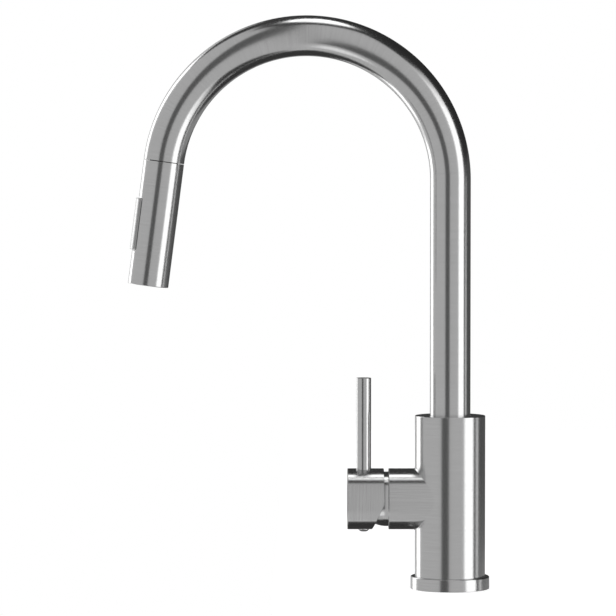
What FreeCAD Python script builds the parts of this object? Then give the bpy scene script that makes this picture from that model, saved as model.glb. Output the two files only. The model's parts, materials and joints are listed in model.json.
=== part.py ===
import FreeCAD, Part
import math
import os
from FreeCAD import Vector

# Pull-out kitchen faucet, in millimetres and degrees. +Z is up, the origin is on the body's axis at
# the deck, and the spout, the spray head and the handle barrel reach towards -X.

# Fits, on each side
SEAT = 0.05             # pieces pushed, screwed or crimped together
RUN = 0.08              # pieces that turn or slide in one another
CLEAR = 0.3             # pieces that pass without touching
EDGE_BREAK = 0.3        # small chamfer on turned edges

# Spout tube and its swivel
TUBE_D = 30.0
TUBE_WALL = 1.5
ARCH_R = 106.2          # bend radius of the tube's centre line
ARCH_Z = 302.5          # height at which the arch starts
HEAD_TILT = 7.4         # lean of the spray head from the vertical
CLIP_T = 1.4
CLIP_BITE = 0.75        # depth of the clip's groove in the tube
CLIP_RIM = 1.9          # how far the clip stands out of the tube
CLIP_MOUTH = 16.0       # opening of the clip
TUBE_TAIL = 3.0         # tube below the clip
BUSH_T = 2.2
BUSH_LOW_H = 8.0
SOCKET_H = 28.0
SOCKET_LIP = 1.5
THRUST_H = 8.0

# Body and base
BODY_D = 52.0
BODY_TOP = 128.3
BODY_WALL = 2.5
BODY_CAP = 6.0          # thickness of the body's top round the spout
BASE_RIM = 3.2          # how far the base ring stands out round the body
BASE_H = 9.3
BASE_ROUND = 0.8
LEDGE_T = 3.0           # inner ledge of the base ring, under the body
LEDGE_W = 1.5
SEAL_W = 3.0
SEAL_T = 1.6
FOOT_H = 13.0           # valve block's round foot above the ledge
FOOT_BOSS = 1.5         # boss of the foot inside the ledge
BLOCK_W = 28.0

# Supply ports in the foot, all inside a 35 mm deck hole
PORT_R = 4.46           # M10 x 1 thread, at its minor diameter
PORT_DEPTH = 12.5
INLET_X = -4.0
INLET_Y = 10.0
OUTLET_X = -12.3
STUD_R = 3.4            # M8 thread, at its minor diameter
STUD_X = -3.4
STUD_DEPTH = 12.0
CHANNEL_R = 3.2

# Handle barrel
BARREL_D = 45.2
BARREL_Z = 66.4
BARREL_END = 45.6       # barrel's open end, from the body's axis
BLEND_R = 1.0

# Mixing cartridge, measured outwards along the barrel's axis from the body's axis
CART_D = 35.0
CART_SEAT = 20.0
CART_WALL = 2.0
CART_LEN = 21.0
CART_FLOOR = 2.0
CART_SHOULDER = 2.0
CART_NECK_D = 28.8
CART_NECK_WALL = 2.4
CART_NECK_LEN = 6.0
HOLE_R = 3.0            # water holes through the floor and the fixed disc
HOT_UP = 4.0
HOT_SIDE = 7.5
MIX_DOWN = 8.0
WASHER_R = 4.4
WASHER_T = 1.0
DISC_T = 3.5
MOVING_R = 11.0
MOVING_DROP = 1.8       # moving disc below the axis while the valve is shut
CHAMBER_R = 6.5
CHAMBER_DROP = 3.0
CHAMBER_DEPTH = 2.0
DRIVER_R = 12.5
DRIVER_T = 4.9
DRIVER_BOSS = 11.0      # side of the driver's square boss
DRIVER_BOSS_H = 6.0
DISC_TRAVEL = 3.8
CARRIER_FLANGE = 2.9
CARRIER_OUT = 3.9       # stem carrier past the pivot
PIN_R = 1.5
STEM_SIDE = 8.0
STEM_ARM_R = 2.3
STEM_BALL_R = 3.0
BALL_IN = 9.0           # from the pivot in to the stem's ball
SLOT_HALF = 8.0         # room for the stem to tilt in its carrier
NUT_D = 39.7
NUT_H = 2.9
NUT_SLOT_W = 4.0        # spanner slots across the nut's face
NUT_SLOT_DEPTH = 1.4
NUT_SLOT_R = 17.3

# Dome and handle
PIVOT_OUT = 2.0         # handle's pivot past the barrel's end
DOME_R = 20.2
DOME_WALL = 2.0
DOME_SKIRT = 2.95
DOME_OPEN = 58.0        # half angle of the dome's mouth
HUB_GAP = 3.5
HUB_LEN = 27.0
HUB_BOSS_R = 8.0
HUB_BOSS_START = 10.4   # from the pivot
HUB_WEB_START = 11.7    # solid upper half of the hub, from the pivot
HUB_WEB_UP = 3.0
SOCKET_END = 22.4       # stem's square socket, from the pivot
NOTCH_TILT = 23.9       # slant of the cut that lets the hub tip back
NOTCH_DROP = 2.7
ROD_D = 11.0
ROD_OUT = 16.4          # lever rod's axis, from the pivot
ROD_TOP = 89.8          # rod's upper end above the barrel's axis
ROD_SEAT = 20.0
STUD_ROD_R = 3.0
STUD_ROD_LEN = 9.0
GRUB_R = 2.4
GRUB_LEN = 3.8
GRUB_KEY_R = 1.2
CAP_R = 4.0
CAP_PROUD = 1.5
CAP_RIM = 0.9
CAP_SHANK_R = 2.9
CAP_SHANK_LEN = 3.5

# Hose and its end fittings, measured along the spray head's axis from the joint with the spout
HOSE_D = 11.0
HOSE_BORE = 7.8
HOSE_WALL_GAP = 0.5     # hose to the outer wall of the arch
FERRULE_T = 0.75
FERRULE_LEN = 12.0
COLLAR_R = 8.0
COLLAR_TOP = -12.0
COLLAR_T = 3.7
SPIGOT_R = 6.4
SPIGOT_END = 13.5
SPIGOT_BORE = 3.0
SWIVEL_GROOVE = 0.8
SWIVEL_CLIP_T = 1.2
SWIVEL_CLIP_S = -4.0
RING_R = 0.75           # section of the O-rings in the spray head
CONNECTOR_SEAL_S = 8.0
COUPLING_T = 0.8

# Dock at the end of the spout, as angles of the arch
DOCK_ANGLE = 6.2
DOCK_WALL = 2.25
DOCK_LIP_BACK = 0.3     # bush's lip over the tube's end, in from the tube's outside
MAGNET_ANGLE = 2.4
MAGNET_WALL = 4.2

# Spray head, measured down its axis from the joint with the spout
HEAD_SEAM = 0.4
HEAD_LEN = 92.4
HEAD_WALL = 1.3
HEAD_ROUND = 0.5
INLET_R = 10.4
INLET_TOP = -8.0
INLET_FLANGE_S = 2.0
INLET_FLANGE_T = 4.0
INLET_BODY_R = 10.0
INLET_END = 30.0
STRIKE_T = 1.4
STRIKE_W = 2.0
CHECK_R = 5.0
CHECK_GAP = 0.5
FILTER_T = 1.2
FILTER_RIM = 1.5
CHECK_LEN = 12.0
CHECK_BORE = 2.6
INLET_SEAL_R = 7.0
DIVERTER_END = 78.0
FEED_R = 2.5
SPOOL_R = 3.45
SPOOL_F = 1.0           # spool's axis in front of the head's axis
SPOOL_START = 38.0
SPOOL_LEN = 22.0
SPOOL_PLAY = 2.0        # free bore past each end of the spool
SPOOL_RING_IN = 3.0     # spool's O-rings, from its ends
SPRAY_F = -9.5
SPRAY_R = 1.8
SPRAY_S = 45.0

# Spray button
BUTTON_S = 29.1
BUTTON_LEN = 38.3
BUTTON_W = 18.0
BUTTON_PROUD = 1.9
BUTTON_BACK = 12.2      # underside of the button, in front of the head's axis
BUTTON_ROUND = 1.5
BUTTON_END_GAP = 0.7
BUTTON_FLOOR = 10.2
BUTTON_PIN_R = 1.0
BUTTON_PIN_F = 8.4
BUTTON_PIN_HALF = 8.5
LUG_R = 2.4
LUG_W = 8.0
FINGER_W = 3.0
FINGER_F = -0.5
FINGER_GAP = 0.4
LUG_ROOM = 6.0

# Spray face
FACE_S = 88.6
FACE_T = 2.8
MAT_T = 2.0
DIVIDER_WALL = 1.0
AERATOR_R = 6.3
AERATOR_S = 80.0
AERATOR_WALL = 1.0
AERATOR_FLOOR = 1.6
AERATOR_PROUD = 0.3
AERATOR_HOLE_R = 0.55
AERATOR_PITCH = 1.55
SCREEN_T = 0.6
SCREEN_GAP = 2.0
SCREEN_HOLE_R = 0.5
SCREEN_PITCH = 1.7
NOZZLE_R = 0.8
NOZZLE_TIP = 0.5
NOZZLE_JET_R = 0.35
NOZZLE_JET_DEPTH = 1.6
NOZZLE_RINGS = 2
NOZZLE_FIRST_R = 8.9
NOZZLE_STEP_R = 2.5
NOZZLE_FIRST_COUNT = 14
NOZZLE_STEP_COUNT = 6

# Radii and heights that follow from the sizes above
TUBE_R = TUBE_D / 2
TUBE_BORE_R = TUBE_R - TUBE_WALL
BODY_R = BODY_D / 2
BORE_R = BODY_R - BODY_WALL
BASE_R = BODY_R + BASE_RIM
LEDGE_R = BORE_R - LEDGE_W
SEAL_R = (LEDGE_R + BASE_R) / 2
SOCKET_TOP = BODY_TOP - BODY_CAP
SOCKET_BOTTOM = SOCKET_TOP - SOCKET_H
BUSH_R = TUBE_R + BUSH_T
BUSH_LOW_TOP = SOCKET_BOTTOM + SOCKET_LIP + BUSH_LOW_H
SPOUT_RING_R = BUSH_T / 2 - SEAT
CLIP_TOP = SOCKET_BOTTOM - RUN
CLIP_BOTTOM = CLIP_TOP - CLIP_T
TUBE_END = CLIP_BOTTOM - TUBE_TAIL
THRUST_TOP = CLIP_BOTTOM - RUN
THRUST_BOTTOM = THRUST_TOP - THRUST_H
BLOCK_TOP = THRUST_BOTTOM - SEAT
FOOT_BOTTOM = LEDGE_T - FOOT_BOSS
FOOT_TOP = LEDGE_T + FOOT_H

BARREL_R = BARREL_D / 2
CART_R = CART_D / 2
CART_BORE_R = CART_R - CART_WALL
CART_END = CART_SEAT + CART_LEN
CART_NECK_R = CART_NECK_D / 2
CART_NECK_BORE = CART_NECK_R - CART_NECK_WALL
CART_NECK_END = CART_END + CART_NECK_LEN
CART_ROOF = CART_END - CART_SHOULDER
FIXED_START = CART_SEAT + CART_FLOOR
MOVING_START = FIXED_START + DISC_T + SEAT
DRIVER_START = MOVING_START + DISC_T + SEAT
DRIVER_PLATE_END = DRIVER_START + DRIVER_T
DRIVER_END = DRIVER_PLATE_END + DRIVER_BOSS_H
PIVOT = BARREL_END + PIVOT_OUT
BALL_AT = PIVOT - BALL_IN
CARRIER_R = CART_NECK_BORE - RUN
CARRIER_FLANGE_R = CART_BORE_R - CLEAR
CARRIER_START = CART_ROOF - RUN - CARRIER_FLANGE
CARRIER_END = PIVOT + CARRIER_OUT
CARRIER_CAVITY = DRIVER_END + CLEAR
NUT_R = NUT_D / 2
NUT_START = CART_END + SEAT
NUT_END = NUT_START + NUT_H
DOME_START = NUT_END + SEAT
DOME_SKIRT_R = NUT_R

HUB_R = BARREL_R
HUB_START = BARREL_END + HUB_GAP
HUB_END = HUB_START + HUB_LEN
HUB_HOLLOW_R = DOME_R + CLEAR
ROD_R = ROD_D / 2
ROD_AT = PIVOT + ROD_OUT
STEM_HALF = STEM_SIDE / 2
STEM_END = PIVOT + SOCKET_END - CLEAR
CAP_SEAT = HUB_R - CAP_RIM
CAP_END = CAP_SEAT - CAP_SHANK_LEN

HOSE_R = HOSE_D / 2
HOSE_BORE_R = HOSE_BORE / 2
HOSE_ARCH_R = ARCH_R + TUBE_BORE_R - HOSE_R - HOSE_WALL_GAP
HOSE_X = HOSE_ARCH_R - ARCH_R
HOSE_TOP = COLLAR_TOP - FERRULE_LEN
FERRULE_R = HOSE_R + SEAT + FERRULE_T
HOSE_PASS_R = HOSE_R + COUPLING_T + 2 * SEAT
BLOCK_BACK = HOSE_X - HOSE_R - 2 * CLEAR
COLLAR_END = COLLAR_TOP + COLLAR_T

ARCH_SWEEP = 180 - HEAD_TILT
HEAD_R = TUBE_R
HEAD_BORE_R = HEAD_R - HEAD_WALL
HEAD_CORE_R = HEAD_BORE_R - SEAT
FILTER_S = SPIGOT_END + CHECK_GAP
CHECK_S = FILTER_S + FILTER_T + SEAT
DOCK_LIP_T = HEAD_SEAM - 2 * RUN
STRIKE_TOP = INLET_TOP - STRIKE_T
BUTTON_MID = BUTTON_S + BUTTON_LEN / 2
BUTTON_END = BUTTON_S + BUTTON_LEN
BUTTON_R = HEAD_R + BUTTON_PROUD
SPOOL_END = SPOOL_START + SPOOL_LEN
SPOOL_BORE_START = SPOOL_START - SPOOL_PLAY
SPOOL_BORE_END = SPOOL_END + SPOOL_PLAY
MAT_S = FACE_S - MAT_T
DIVIDER_R = AERATOR_R + SEAT + DIVIDER_WALL
FACE_END = FACE_S + FACE_T
AERATOR_END = FACE_END - AERATOR_PROUD
SCREEN_S = AERATOR_END - AERATOR_FLOOR - SCREEN_GAP
BIG = BODY_TOP          # longer than any single cut needs


def rod(radius, start, end):
    return Part.makeCylinder(radius, end - start, Vector(0, 0, start))


def tube(outer, inner, start, end):
    return rod(outer, start, end).cut(rod(inner, start, end))


def cross_rod(radius, half_length, x, z):
    """Round bar along Y, centred on the middle plane."""
    start = Vector(x, -half_length, z)
    return Part.makeCylinder(radius, 2 * half_length, start, Vector(0, 1, 0))


def upright_rod(radius, x0, x1, z):
    """Round bar along the local X direction."""
    return Part.makeCylinder(radius, x1 - x0, Vector(x0, 0, z), Vector(1, 0, 0))


def block(x0, x1, half_y, z0, z1):
    return Part.makeBox(x1 - x0, 2 * half_y, z1 - z0, Vector(x0, -half_y, z0))


def o_ring(mean_radius, section_radius, z):
    return Part.makeTorus(mean_radius, section_radius, Vector(0, 0, z))


def turned_about_y(shape, angle, x, z):
    moved = shape.copy()
    moved.rotate(Vector(), Vector(0, 1, 0), angle)
    moved.translate(Vector(x, 0, z))
    return moved


def at_barrel(shape):
    """Local (x, y, z) becomes (height over the barrel's axis, side, distance from the body's axis)."""
    return turned_about_y(shape, -90, 0, BARREL_Z)


def at_head(shape):
    """Local (x, y, z) becomes (towards the button, side, distance down the spray head)."""
    lean = math.radians(HEAD_TILT)
    joint_x = -ARCH_R - ARCH_R * math.cos(lean)
    joint_z = ARCH_Z + ARCH_R * math.sin(lean)
    return turned_about_y(shape, 180 + HEAD_TILT, joint_x, joint_z)


def annulus(outer, inner):
    disc = Part.Face(Part.Wire(Part.makeCircle(outer)))
    hole = Part.Face(Part.Wire(Part.makeCircle(inner)))
    return disc.cut(hole).Faces[0]


def arch_pipe(radius, outer, inner, start, end):
    """Pipe bent about the arch's centre, between two angles counted from the upright leg."""
    face = annulus(outer, inner)
    face.translate(Vector(radius, 0, 0))
    face.rotate(Vector(), Vector(0, -1, 0), start)
    face.translate(Vector(-ARCH_R, 0, ARCH_Z))
    return face.revolve(Vector(-ARCH_R, 0, ARCH_Z), Vector(0, -1, 0), end - start)


def circles_at(shape, z):
    """Round edges of a turned shape at one height."""
    level = [e for e in shape.Edges if e.Curve.TypeId == "Part::GeomCircle"]
    return [e for e in level if abs(e.BoundBox.ZMin - z) < SEAT and e.BoundBox.ZLength < SEAT]


# Base and body


def base_ring():
    ring = rod(BASE_R, 0, BASE_H)
    ring = ring.makeFillet(BASE_ROUND, circles_at(ring, BASE_H))
    ring = ring.cut(rod(BODY_R + SEAT, LEDGE_T, BIG))
    ring = ring.cut(rod(LEDGE_R, -BIG, BIG))
    return ring.cut(tube(SEAL_R + SEAL_W / 2, SEAL_R - SEAL_W / 2, -BIG, SEAL_T))


def base_seal():
    half = SEAL_W / 2 - SEAT
    return tube(SEAL_R + half, SEAL_R - half, 0, SEAL_T - SEAT)


def body_shell():
    column = rod(BODY_R, LEDGE_T, BODY_TOP)
    column = column.makeChamfer(EDGE_BREAK, circles_at(column, BODY_TOP))
    barrel = rod(BARREL_R, 0, BARREL_END)
    barrel = barrel.makeChamfer(EDGE_BREAK, circles_at(barrel, BARREL_END))
    outside = column.fuse(at_barrel(barrel))
    plain = ("Part::GeomLine", "Part::GeomCircle")
    joint = [e for e in outside.Edges if e.Curve.TypeId not in plain]
    outside = outside.makeFillet(BLEND_R, joint)
    outside = outside.cut(rod(BORE_R, -BIG, SOCKET_TOP))
    outside = outside.cut(rod(TUBE_R + CLEAR, 0, BODY_TOP + BIG))
    outside = outside.cut(at_barrel(rod(CART_R + SEAT, CART_SEAT, BIG)))
    return outside.cut(at_barrel(rod(NUT_R + SEAT, CART_END, BIG)))


def valve_block():
    within = rod(BORE_R - SEAT, LEDGE_T + SEAT, BLOCK_TOP)
    column = within.common(block(-CART_SEAT, BLOCK_BACK, BLOCK_W / 2, LEDGE_T, BLOCK_TOP))
    foot = rod(BORE_R - SEAT, LEDGE_T + SEAT, FOOT_TOP)
    foot = foot.fuse(rod(LEDGE_R - SEAT, FOOT_BOTTOM, FOOT_TOP))
    core = foot.fuse(column)
    thread_top = FOOT_BOTTOM + PORT_DEPTH
    cuts = []
    for side in (-1, 1):
        port = Vector(INLET_X, side * INLET_Y, FOOT_BOTTOM)
        cuts.append(Part.makeCylinder(PORT_R, PORT_DEPTH, port))
        rise = BARREL_Z + HOT_UP + HOLE_R - FOOT_BOTTOM
        cuts.append(Part.makeCylinder(CHANNEL_R, rise, port))
        inward = CART_SEAT + INLET_X
        mouth = Vector(-CART_SEAT, side * HOT_SIDE, BARREL_Z + HOT_UP)
        cuts.append(Part.makeCylinder(HOLE_R, inward, mouth, Vector(1, 0, 0)))
    outlet = Vector(OUTLET_X, 0, FOOT_BOTTOM)
    cuts.append(Part.makeCylinder(PORT_R, PORT_DEPTH, outlet))
    cuts.append(Part.makeCylinder(CHANNEL_R, BARREL_Z - MIX_DOWN + HOLE_R - FOOT_BOTTOM, outlet))
    mouth = Vector(-CART_SEAT, 0, BARREL_Z - MIX_DOWN)
    cuts.append(Part.makeCylinder(HOLE_R, CART_SEAT + OUTLET_X, mouth, Vector(1, 0, 0)))
    cuts.append(Part.makeCylinder(STUD_R, STUD_DEPTH, Vector(STUD_X, 0, FOOT_BOTTOM)))
    cuts.append(Part.makeCylinder(HOSE_PASS_R, FOOT_TOP, Vector(HOSE_X, 0, 0)))
    return core.removeSplitter().cut(cuts)


# Mixing cartridge, from its seat outwards


def water_holes(radius, start, end):
    holes = []
    for up, side in ((HOT_UP, HOT_SIDE), (HOT_UP, -HOT_SIDE), (-MIX_DOWN, 0)):
        holes.append(Part.makeCylinder(radius, end - start, Vector(up, side, start)))
    return holes


def port_seals():
    end = CART_SEAT + WASHER_T - SEAT
    rings = []
    for ring in water_holes(WASHER_R - SEAT, CART_SEAT, end):
        rings.append(ring.cut(water_holes(HOLE_R, CART_SEAT, end)))
    return at_barrel(Part.makeCompound(rings))


def cartridge_housing():
    cup = rod(CART_R, CART_SEAT, CART_END)
    cup = cup.fuse(rod(CART_NECK_R, CART_SEAT, CART_NECK_END))
    cup = cup.cut(rod(CART_BORE_R, FIXED_START, CART_ROOF))
    cup = cup.cut(rod(CART_NECK_BORE, FIXED_START, BIG))
    cup = cup.cut(water_holes(HOLE_R, CART_SEAT, FIXED_START))
    return at_barrel(cup.cut(water_holes(WASHER_R, CART_SEAT, CART_SEAT + WASHER_T)))


def fixed_disc():
    disc = rod(CART_BORE_R - SEAT, FIXED_START, FIXED_START + DISC_T)
    return at_barrel(disc.cut(water_holes(HOLE_R, FIXED_START, FIXED_START + DISC_T)))


def moving_disc():
    centre = Vector(-MOVING_DROP, 0, MOVING_START)
    disc = Part.makeCylinder(MOVING_R, DISC_T, centre)
    chamber = Vector(-CHAMBER_DROP, 0, MOVING_START)
    return at_barrel(disc.cut(Part.makeCylinder(CHAMBER_R, CHAMBER_DEPTH, chamber)))


def disc_driver():
    plate = Part.makeCylinder(DRIVER_R, DRIVER_T, Vector(-MOVING_DROP, 0, DRIVER_START))
    half = DRIVER_BOSS / 2
    boss = block(-half, half, half, DRIVER_PLATE_END, DRIVER_END)
    socket = rod(STEM_BALL_R + 2 * CLEAR, BALL_AT - STEM_BALL_R - CLEAR, BIG)
    return at_barrel(plate.fuse(boss).cut(socket))


def stem_carrier():
    carrier = rod(CARRIER_FLANGE_R, CARRIER_START, CARRIER_START + CARRIER_FLANGE)
    carrier = carrier.fuse(rod(CARRIER_R, CARRIER_START, CARRIER_END))
    half = DRIVER_BOSS / 2 + CLEAR
    carrier = carrier.cut(block(-half, half + DISC_TRAVEL, half, 0, CARRIER_CAVITY))
    carrier = carrier.cut(block(-SLOT_HALF, SLOT_HALF, STEM_HALF + CLEAR, 0, BIG))
    return at_barrel(carrier.cut(cross_rod(PIN_R, BIG, 0, PIVOT)))


def stem_pin():
    return at_barrel(cross_rod(PIN_R - SEAT, CARRIER_R - CLEAR, 0, PIVOT))


def valve_stem():
    shank = block(-STEM_HALF, STEM_HALF, STEM_HALF, PIVOT, STEM_END)
    stem = shank.fuse(cross_rod(STEM_HALF, STEM_HALF, 0, PIVOT))
    stem = stem.fuse(rod(STEM_ARM_R, BALL_AT, PIVOT))
    stem = stem.fuse(Part.makeSphere(STEM_BALL_R, Vector(0, 0, BALL_AT)))
    return at_barrel(stem.cut(cross_rod(PIN_R + RUN, BIG, 0, PIVOT)))


def cartridge_nut():
    nut = tube(NUT_R, CART_NECK_R + CLEAR, NUT_START, NUT_END)
    slot = block(-BIG, BIG, NUT_SLOT_W / 2, NUT_END - NUT_SLOT_DEPTH, BIG)
    turned = slot.copy()
    turned.rotate(Vector(), Vector(0, 0, 1), 90)
    inside = rod(NUT_SLOT_R, NUT_START, NUT_END)
    return at_barrel(nut.cut(inside.common(slot.fuse(turned))))


def dome_cap():
    centre = Vector(0, 0, PIVOT)
    mouth = PIVOT + DOME_R * math.cos(math.radians(DOME_OPEN))
    ball = Part.makeSphere(DOME_R, centre).common(rod(BIG, PIVOT, mouth))
    outside = ball.fuse(rod(DOME_R, BARREL_END + SEAT, PIVOT))
    outside = outside.fuse(rod(DOME_SKIRT_R, DOME_START, PIVOT))
    inner = DOME_R - DOME_WALL
    hollow = Part.makeSphere(inner, centre).common(rod(BIG, PIVOT, BIG))
    hollow = hollow.fuse(rod(inner, BARREL_END + DOME_WALL / 2, PIVOT))
    hollow = hollow.fuse(rod(DOME_SKIRT_R - DOME_SKIRT, 0, PIVOT))
    return at_barrel(outside.cut(hollow))


# Handle


def handle_hub():
    hub = rod(HUB_R, HUB_START, HUB_END)
    hub = hub.makeChamfer(EDGE_BREAK, circles_at(hub, HUB_END))
    hollow = Part.makeSphere(HUB_HOLLOW_R, Vector(0, 0, PIVOT))
    hollow = hollow.cut(rod(HUB_BOSS_R, PIVOT + HUB_BOSS_START, BIG))
    hollow = hollow.cut(block(HUB_WEB_UP, BIG, BIG, PIVOT + HUB_WEB_START, BIG))
    hub = hub.cut(hollow)
    square = STEM_HALF + SEAT
    hub = hub.cut(block(-square, square, square, PIVOT, PIVOT + SOCKET_END))
    hub = hub.cut(upright_rod(ROD_R + SEAT, ROD_SEAT, BIG, ROD_AT))
    stud_end = ROD_SEAT - STUD_ROD_LEN - CLEAR
    hub = hub.cut(upright_rod(STUD_ROD_R + SEAT, stud_end, BIG, ROD_AT))
    hub = hub.cut(upright_rod(GRUB_R + SEAT, -HUB_BOSS_R - CLEAR, 0, ROD_AT))
    hub = hub.cut(upright_rod(CAP_SHANK_R + SEAT, -BIG, -HUB_BOSS_R - CLEAR, ROD_AT))
    hub = hub.cut(upright_rod(CAP_R + SEAT, -BIG, -CAP_SEAT, ROD_AT))
    drop = HUB_R + NOTCH_DROP
    inward = drop * math.tan(math.radians(NOTCH_TILT))
    low = -NOTCH_DROP - drop
    outline = [
        Vector(-NOTCH_DROP, -BIG, HUB_START),
        Vector(low, -BIG, HUB_START + inward),
        Vector(low, -BIG, 0),
        Vector(-NOTCH_DROP, -BIG, 0),
    ]
    face = Part.Face(Part.makePolygon(outline + outline[:1]))
    return at_barrel(hub.cut(face.extrude(Vector(0, 2 * BIG, 0))))


def lever_rod():
    lever = Part.makeCylinder(ROD_R, ROD_TOP - ROD_SEAT - SEAT)
    top = circles_at(lever, ROD_TOP - ROD_SEAT - SEAT)
    lever = lever.makeChamfer(EDGE_BREAK, top)
    lever = lever.fuse(rod(STUD_ROD_R, -STUD_ROD_LEN, 0))
    lever.translate(Vector(-ROD_AT, 0, BARREL_Z + ROD_SEAT + SEAT))
    return lever


def grub_screw():
    inner = -STEM_HALF - SEAT
    screw = upright_rod(GRUB_R, inner - GRUB_LEN, inner, ROD_AT)
    key = upright_rod(GRUB_KEY_R, inner - GRUB_LEN, inner - GRUB_LEN / 2, ROD_AT)
    return at_barrel(screw.cut(key))


def screw_cap():
    shank = upright_rod(CAP_SHANK_R, -CAP_SEAT - SEAT, -CAP_END, ROD_AT)
    head = upright_rod(CAP_R, -HUB_R - CAP_PROUD, -CAP_SEAT - SEAT, ROD_AT)
    crown = CAP_PROUD + CAP_RIM / 2
    dome_r = (CAP_R ** 2 + crown ** 2) / (2 * crown)
    dome = Part.makeSphere(dome_r, Vector(-HUB_R - CAP_PROUD + dome_r, 0, ROD_AT))
    return at_barrel(shank.fuse(head.common(dome)))


# Spout


def spout_tube():
    leg = tube(TUBE_R, TUBE_BORE_R, TUBE_END, ARCH_Z)
    arch = arch_pipe(ARCH_R, TUBE_R, TUBE_BORE_R, 0, ARCH_SWEEP)
    groove = tube(BODY_R, TUBE_R - CLIP_BITE, CLIP_BOTTOM - SEAT, CLIP_TOP + SEAT)
    return leg.fuse(arch).removeSplitter().cut(groove)


def spout_clip():
    clip = tube(TUBE_R + CLIP_RIM, TUBE_R - CLIP_BITE + SEAT, CLIP_BOTTOM, CLIP_TOP)
    return clip.cut(block(0, BIG, CLIP_MOUTH / 2, CLIP_BOTTOM, CLIP_TOP))


def spout_socket():
    sleeve = tube(BORE_R - SEAT, BUSH_R, SOCKET_BOTTOM, SOCKET_TOP - SEAT)
    lip_top = SOCKET_BOTTOM + SOCKET_LIP
    return sleeve.fuse(tube(BORE_R - SEAT, TUBE_R + CLEAR, SOCKET_BOTTOM, lip_top))


def lower_bush():
    start = SOCKET_BOTTOM + SOCKET_LIP + SEAT
    return tube(BUSH_R - SEAT, TUBE_R + RUN, start, BUSH_LOW_TOP)


def spout_seal_heights():
    first = BUSH_LOW_TOP + SEAT + SPOUT_RING_R
    return first, first + 2 * SPOUT_RING_R + SEAT


def spout_seals():
    mean = TUBE_R + BUSH_T / 2
    return Part.makeCompound([o_ring(mean, SPOUT_RING_R, z) for z in spout_seal_heights()])


def upper_bush():
    start = spout_seal_heights()[1] + SPOUT_RING_R + SEAT
    return tube(BUSH_R - SEAT, TUBE_R + RUN, start, SOCKET_TOP - SEAT)


def thrust_ring():
    return tube(BORE_R - SEAT, TUBE_R + CLEAR, THRUST_BOTTOM, THRUST_TOP)


def dock_bush():
    outer = TUBE_BORE_R - SEAT
    sleeve = arch_pipe(ARCH_R, outer, outer - DOCK_WALL, ARCH_SWEEP - DOCK_ANGLE, ARCH_SWEEP)
    return sleeve.fuse(at_head(tube(TUBE_R - DOCK_LIP_BACK, outer - DOCK_WALL, 0, DOCK_LIP_T)))


def dock_magnet():
    outer = TUBE_BORE_R - SEAT
    end = ARCH_SWEEP - DOCK_ANGLE
    return arch_pipe(ARCH_R, outer, outer - MAGNET_WALL, end - MAGNET_ANGLE, end)


# Hose: straight out of the head, one bend on to the outer side of the arch, then down the leg


def hose_in_spout():
    lead = -HOSE_TOP
    near = ARCH_R ** 2 + lead ** 2 - HOSE_ARCH_R ** 2
    bend_r = near / (2 * (ARCH_R - HOSE_ARCH_R))
    turn = math.degrees(math.atan2(lead, ARCH_R - bend_r))
    meet = ARCH_SWEEP - turn
    arch = arch_pipe(HOSE_ARCH_R, HOSE_R, HOSE_BORE_R, 0, meet)
    face = annulus(HOSE_R, HOSE_BORE_R)
    face.translate(Vector(HOSE_ARCH_R, 0, 0))
    face.rotate(Vector(), Vector(0, -1, 0), meet)
    face.translate(Vector(-ARCH_R, 0, ARCH_Z))
    along = math.radians(meet)
    reach = HOSE_ARCH_R - bend_r
    centre = Vector(-ARCH_R + reach * math.cos(along), 0, ARCH_Z + reach * math.sin(along))
    bend = face.revolve(centre, Vector(0, -1, 0), turn)
    leg = tube(HOSE_R, HOSE_BORE_R, TUBE_END + SEAT, ARCH_Z)
    leg.translate(Vector(HOSE_X, 0, 0))
    hose = leg.fuse([arch, bend]).removeSplitter()
    arcs = math.radians(meet) * HOSE_ARCH_R + math.radians(turn) * bend_r
    length = ARCH_Z - TUBE_END - SEAT + arcs
    section = math.pi * (HOSE_R ** 2 - HOSE_BORE_R ** 2)
    print("hose bend radii", round(bend_r, 1), round(HOSE_ARCH_R, 1))
    print("hose volume / section x length", round(hose.Volume / (section * length), 5))
    return hose


def hose_lead():
    return at_head(tube(HOSE_R, HOSE_BORE_R, HOSE_TOP + SEAT, COLLAR_TOP))


def hose_lower():
    hose = tube(HOSE_R, HOSE_BORE_R, FOOT_BOTTOM + COUPLING_T, TUBE_END)
    hose.translate(Vector(HOSE_X, 0, 0))
    return hose


def hose_coupling():
    outer = HOSE_R + SEAT + COUPLING_T
    sleeve = rod(outer, FOOT_BOTTOM, FOOT_TOP)
    sleeve = sleeve.cut(rod(HOSE_R + SEAT, FOOT_BOTTOM + COUPLING_T, FOOT_TOP))
    sleeve = sleeve.cut(rod(HOSE_BORE_R, FOOT_BOTTOM, FOOT_TOP))
    sleeve.translate(Vector(HOSE_X, 0, 0))
    return sleeve


def hose_ferrule():
    return at_head(tube(FERRULE_R, HOSE_R + SEAT, HOSE_TOP, COLLAR_TOP))


def hose_connector():
    body = rod(COLLAR_R, COLLAR_TOP, COLLAR_END)
    body = body.fuse(rod(SPIGOT_R, COLLAR_TOP, SPIGOT_END))
    body = body.fuse(rod(HOSE_BORE_R - SEAT, HOSE_TOP, COLLAR_TOP))
    body = body.cut(rod(SPIGOT_BORE, -BIG, BIG))
    clip_end = SWIVEL_CLIP_S + SWIVEL_CLIP_T
    waist = SPIGOT_R - SWIVEL_GROOVE
    body = body.cut(tube(BIG, waist, SWIVEL_CLIP_S - CLEAR, clip_end + CLEAR))
    seal_floor = SPIGOT_R - 2 * RING_R
    start = CONNECTOR_SEAL_S - RING_R - SEAT
    return at_head(body.cut(tube(BIG, seal_floor, start, start + 2 * (RING_R + SEAT))))


def connector_seal():
    return at_head(o_ring(SPIGOT_R - RING_R, RING_R - SEAT, CONNECTOR_SEAL_S))


# Spray head


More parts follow.
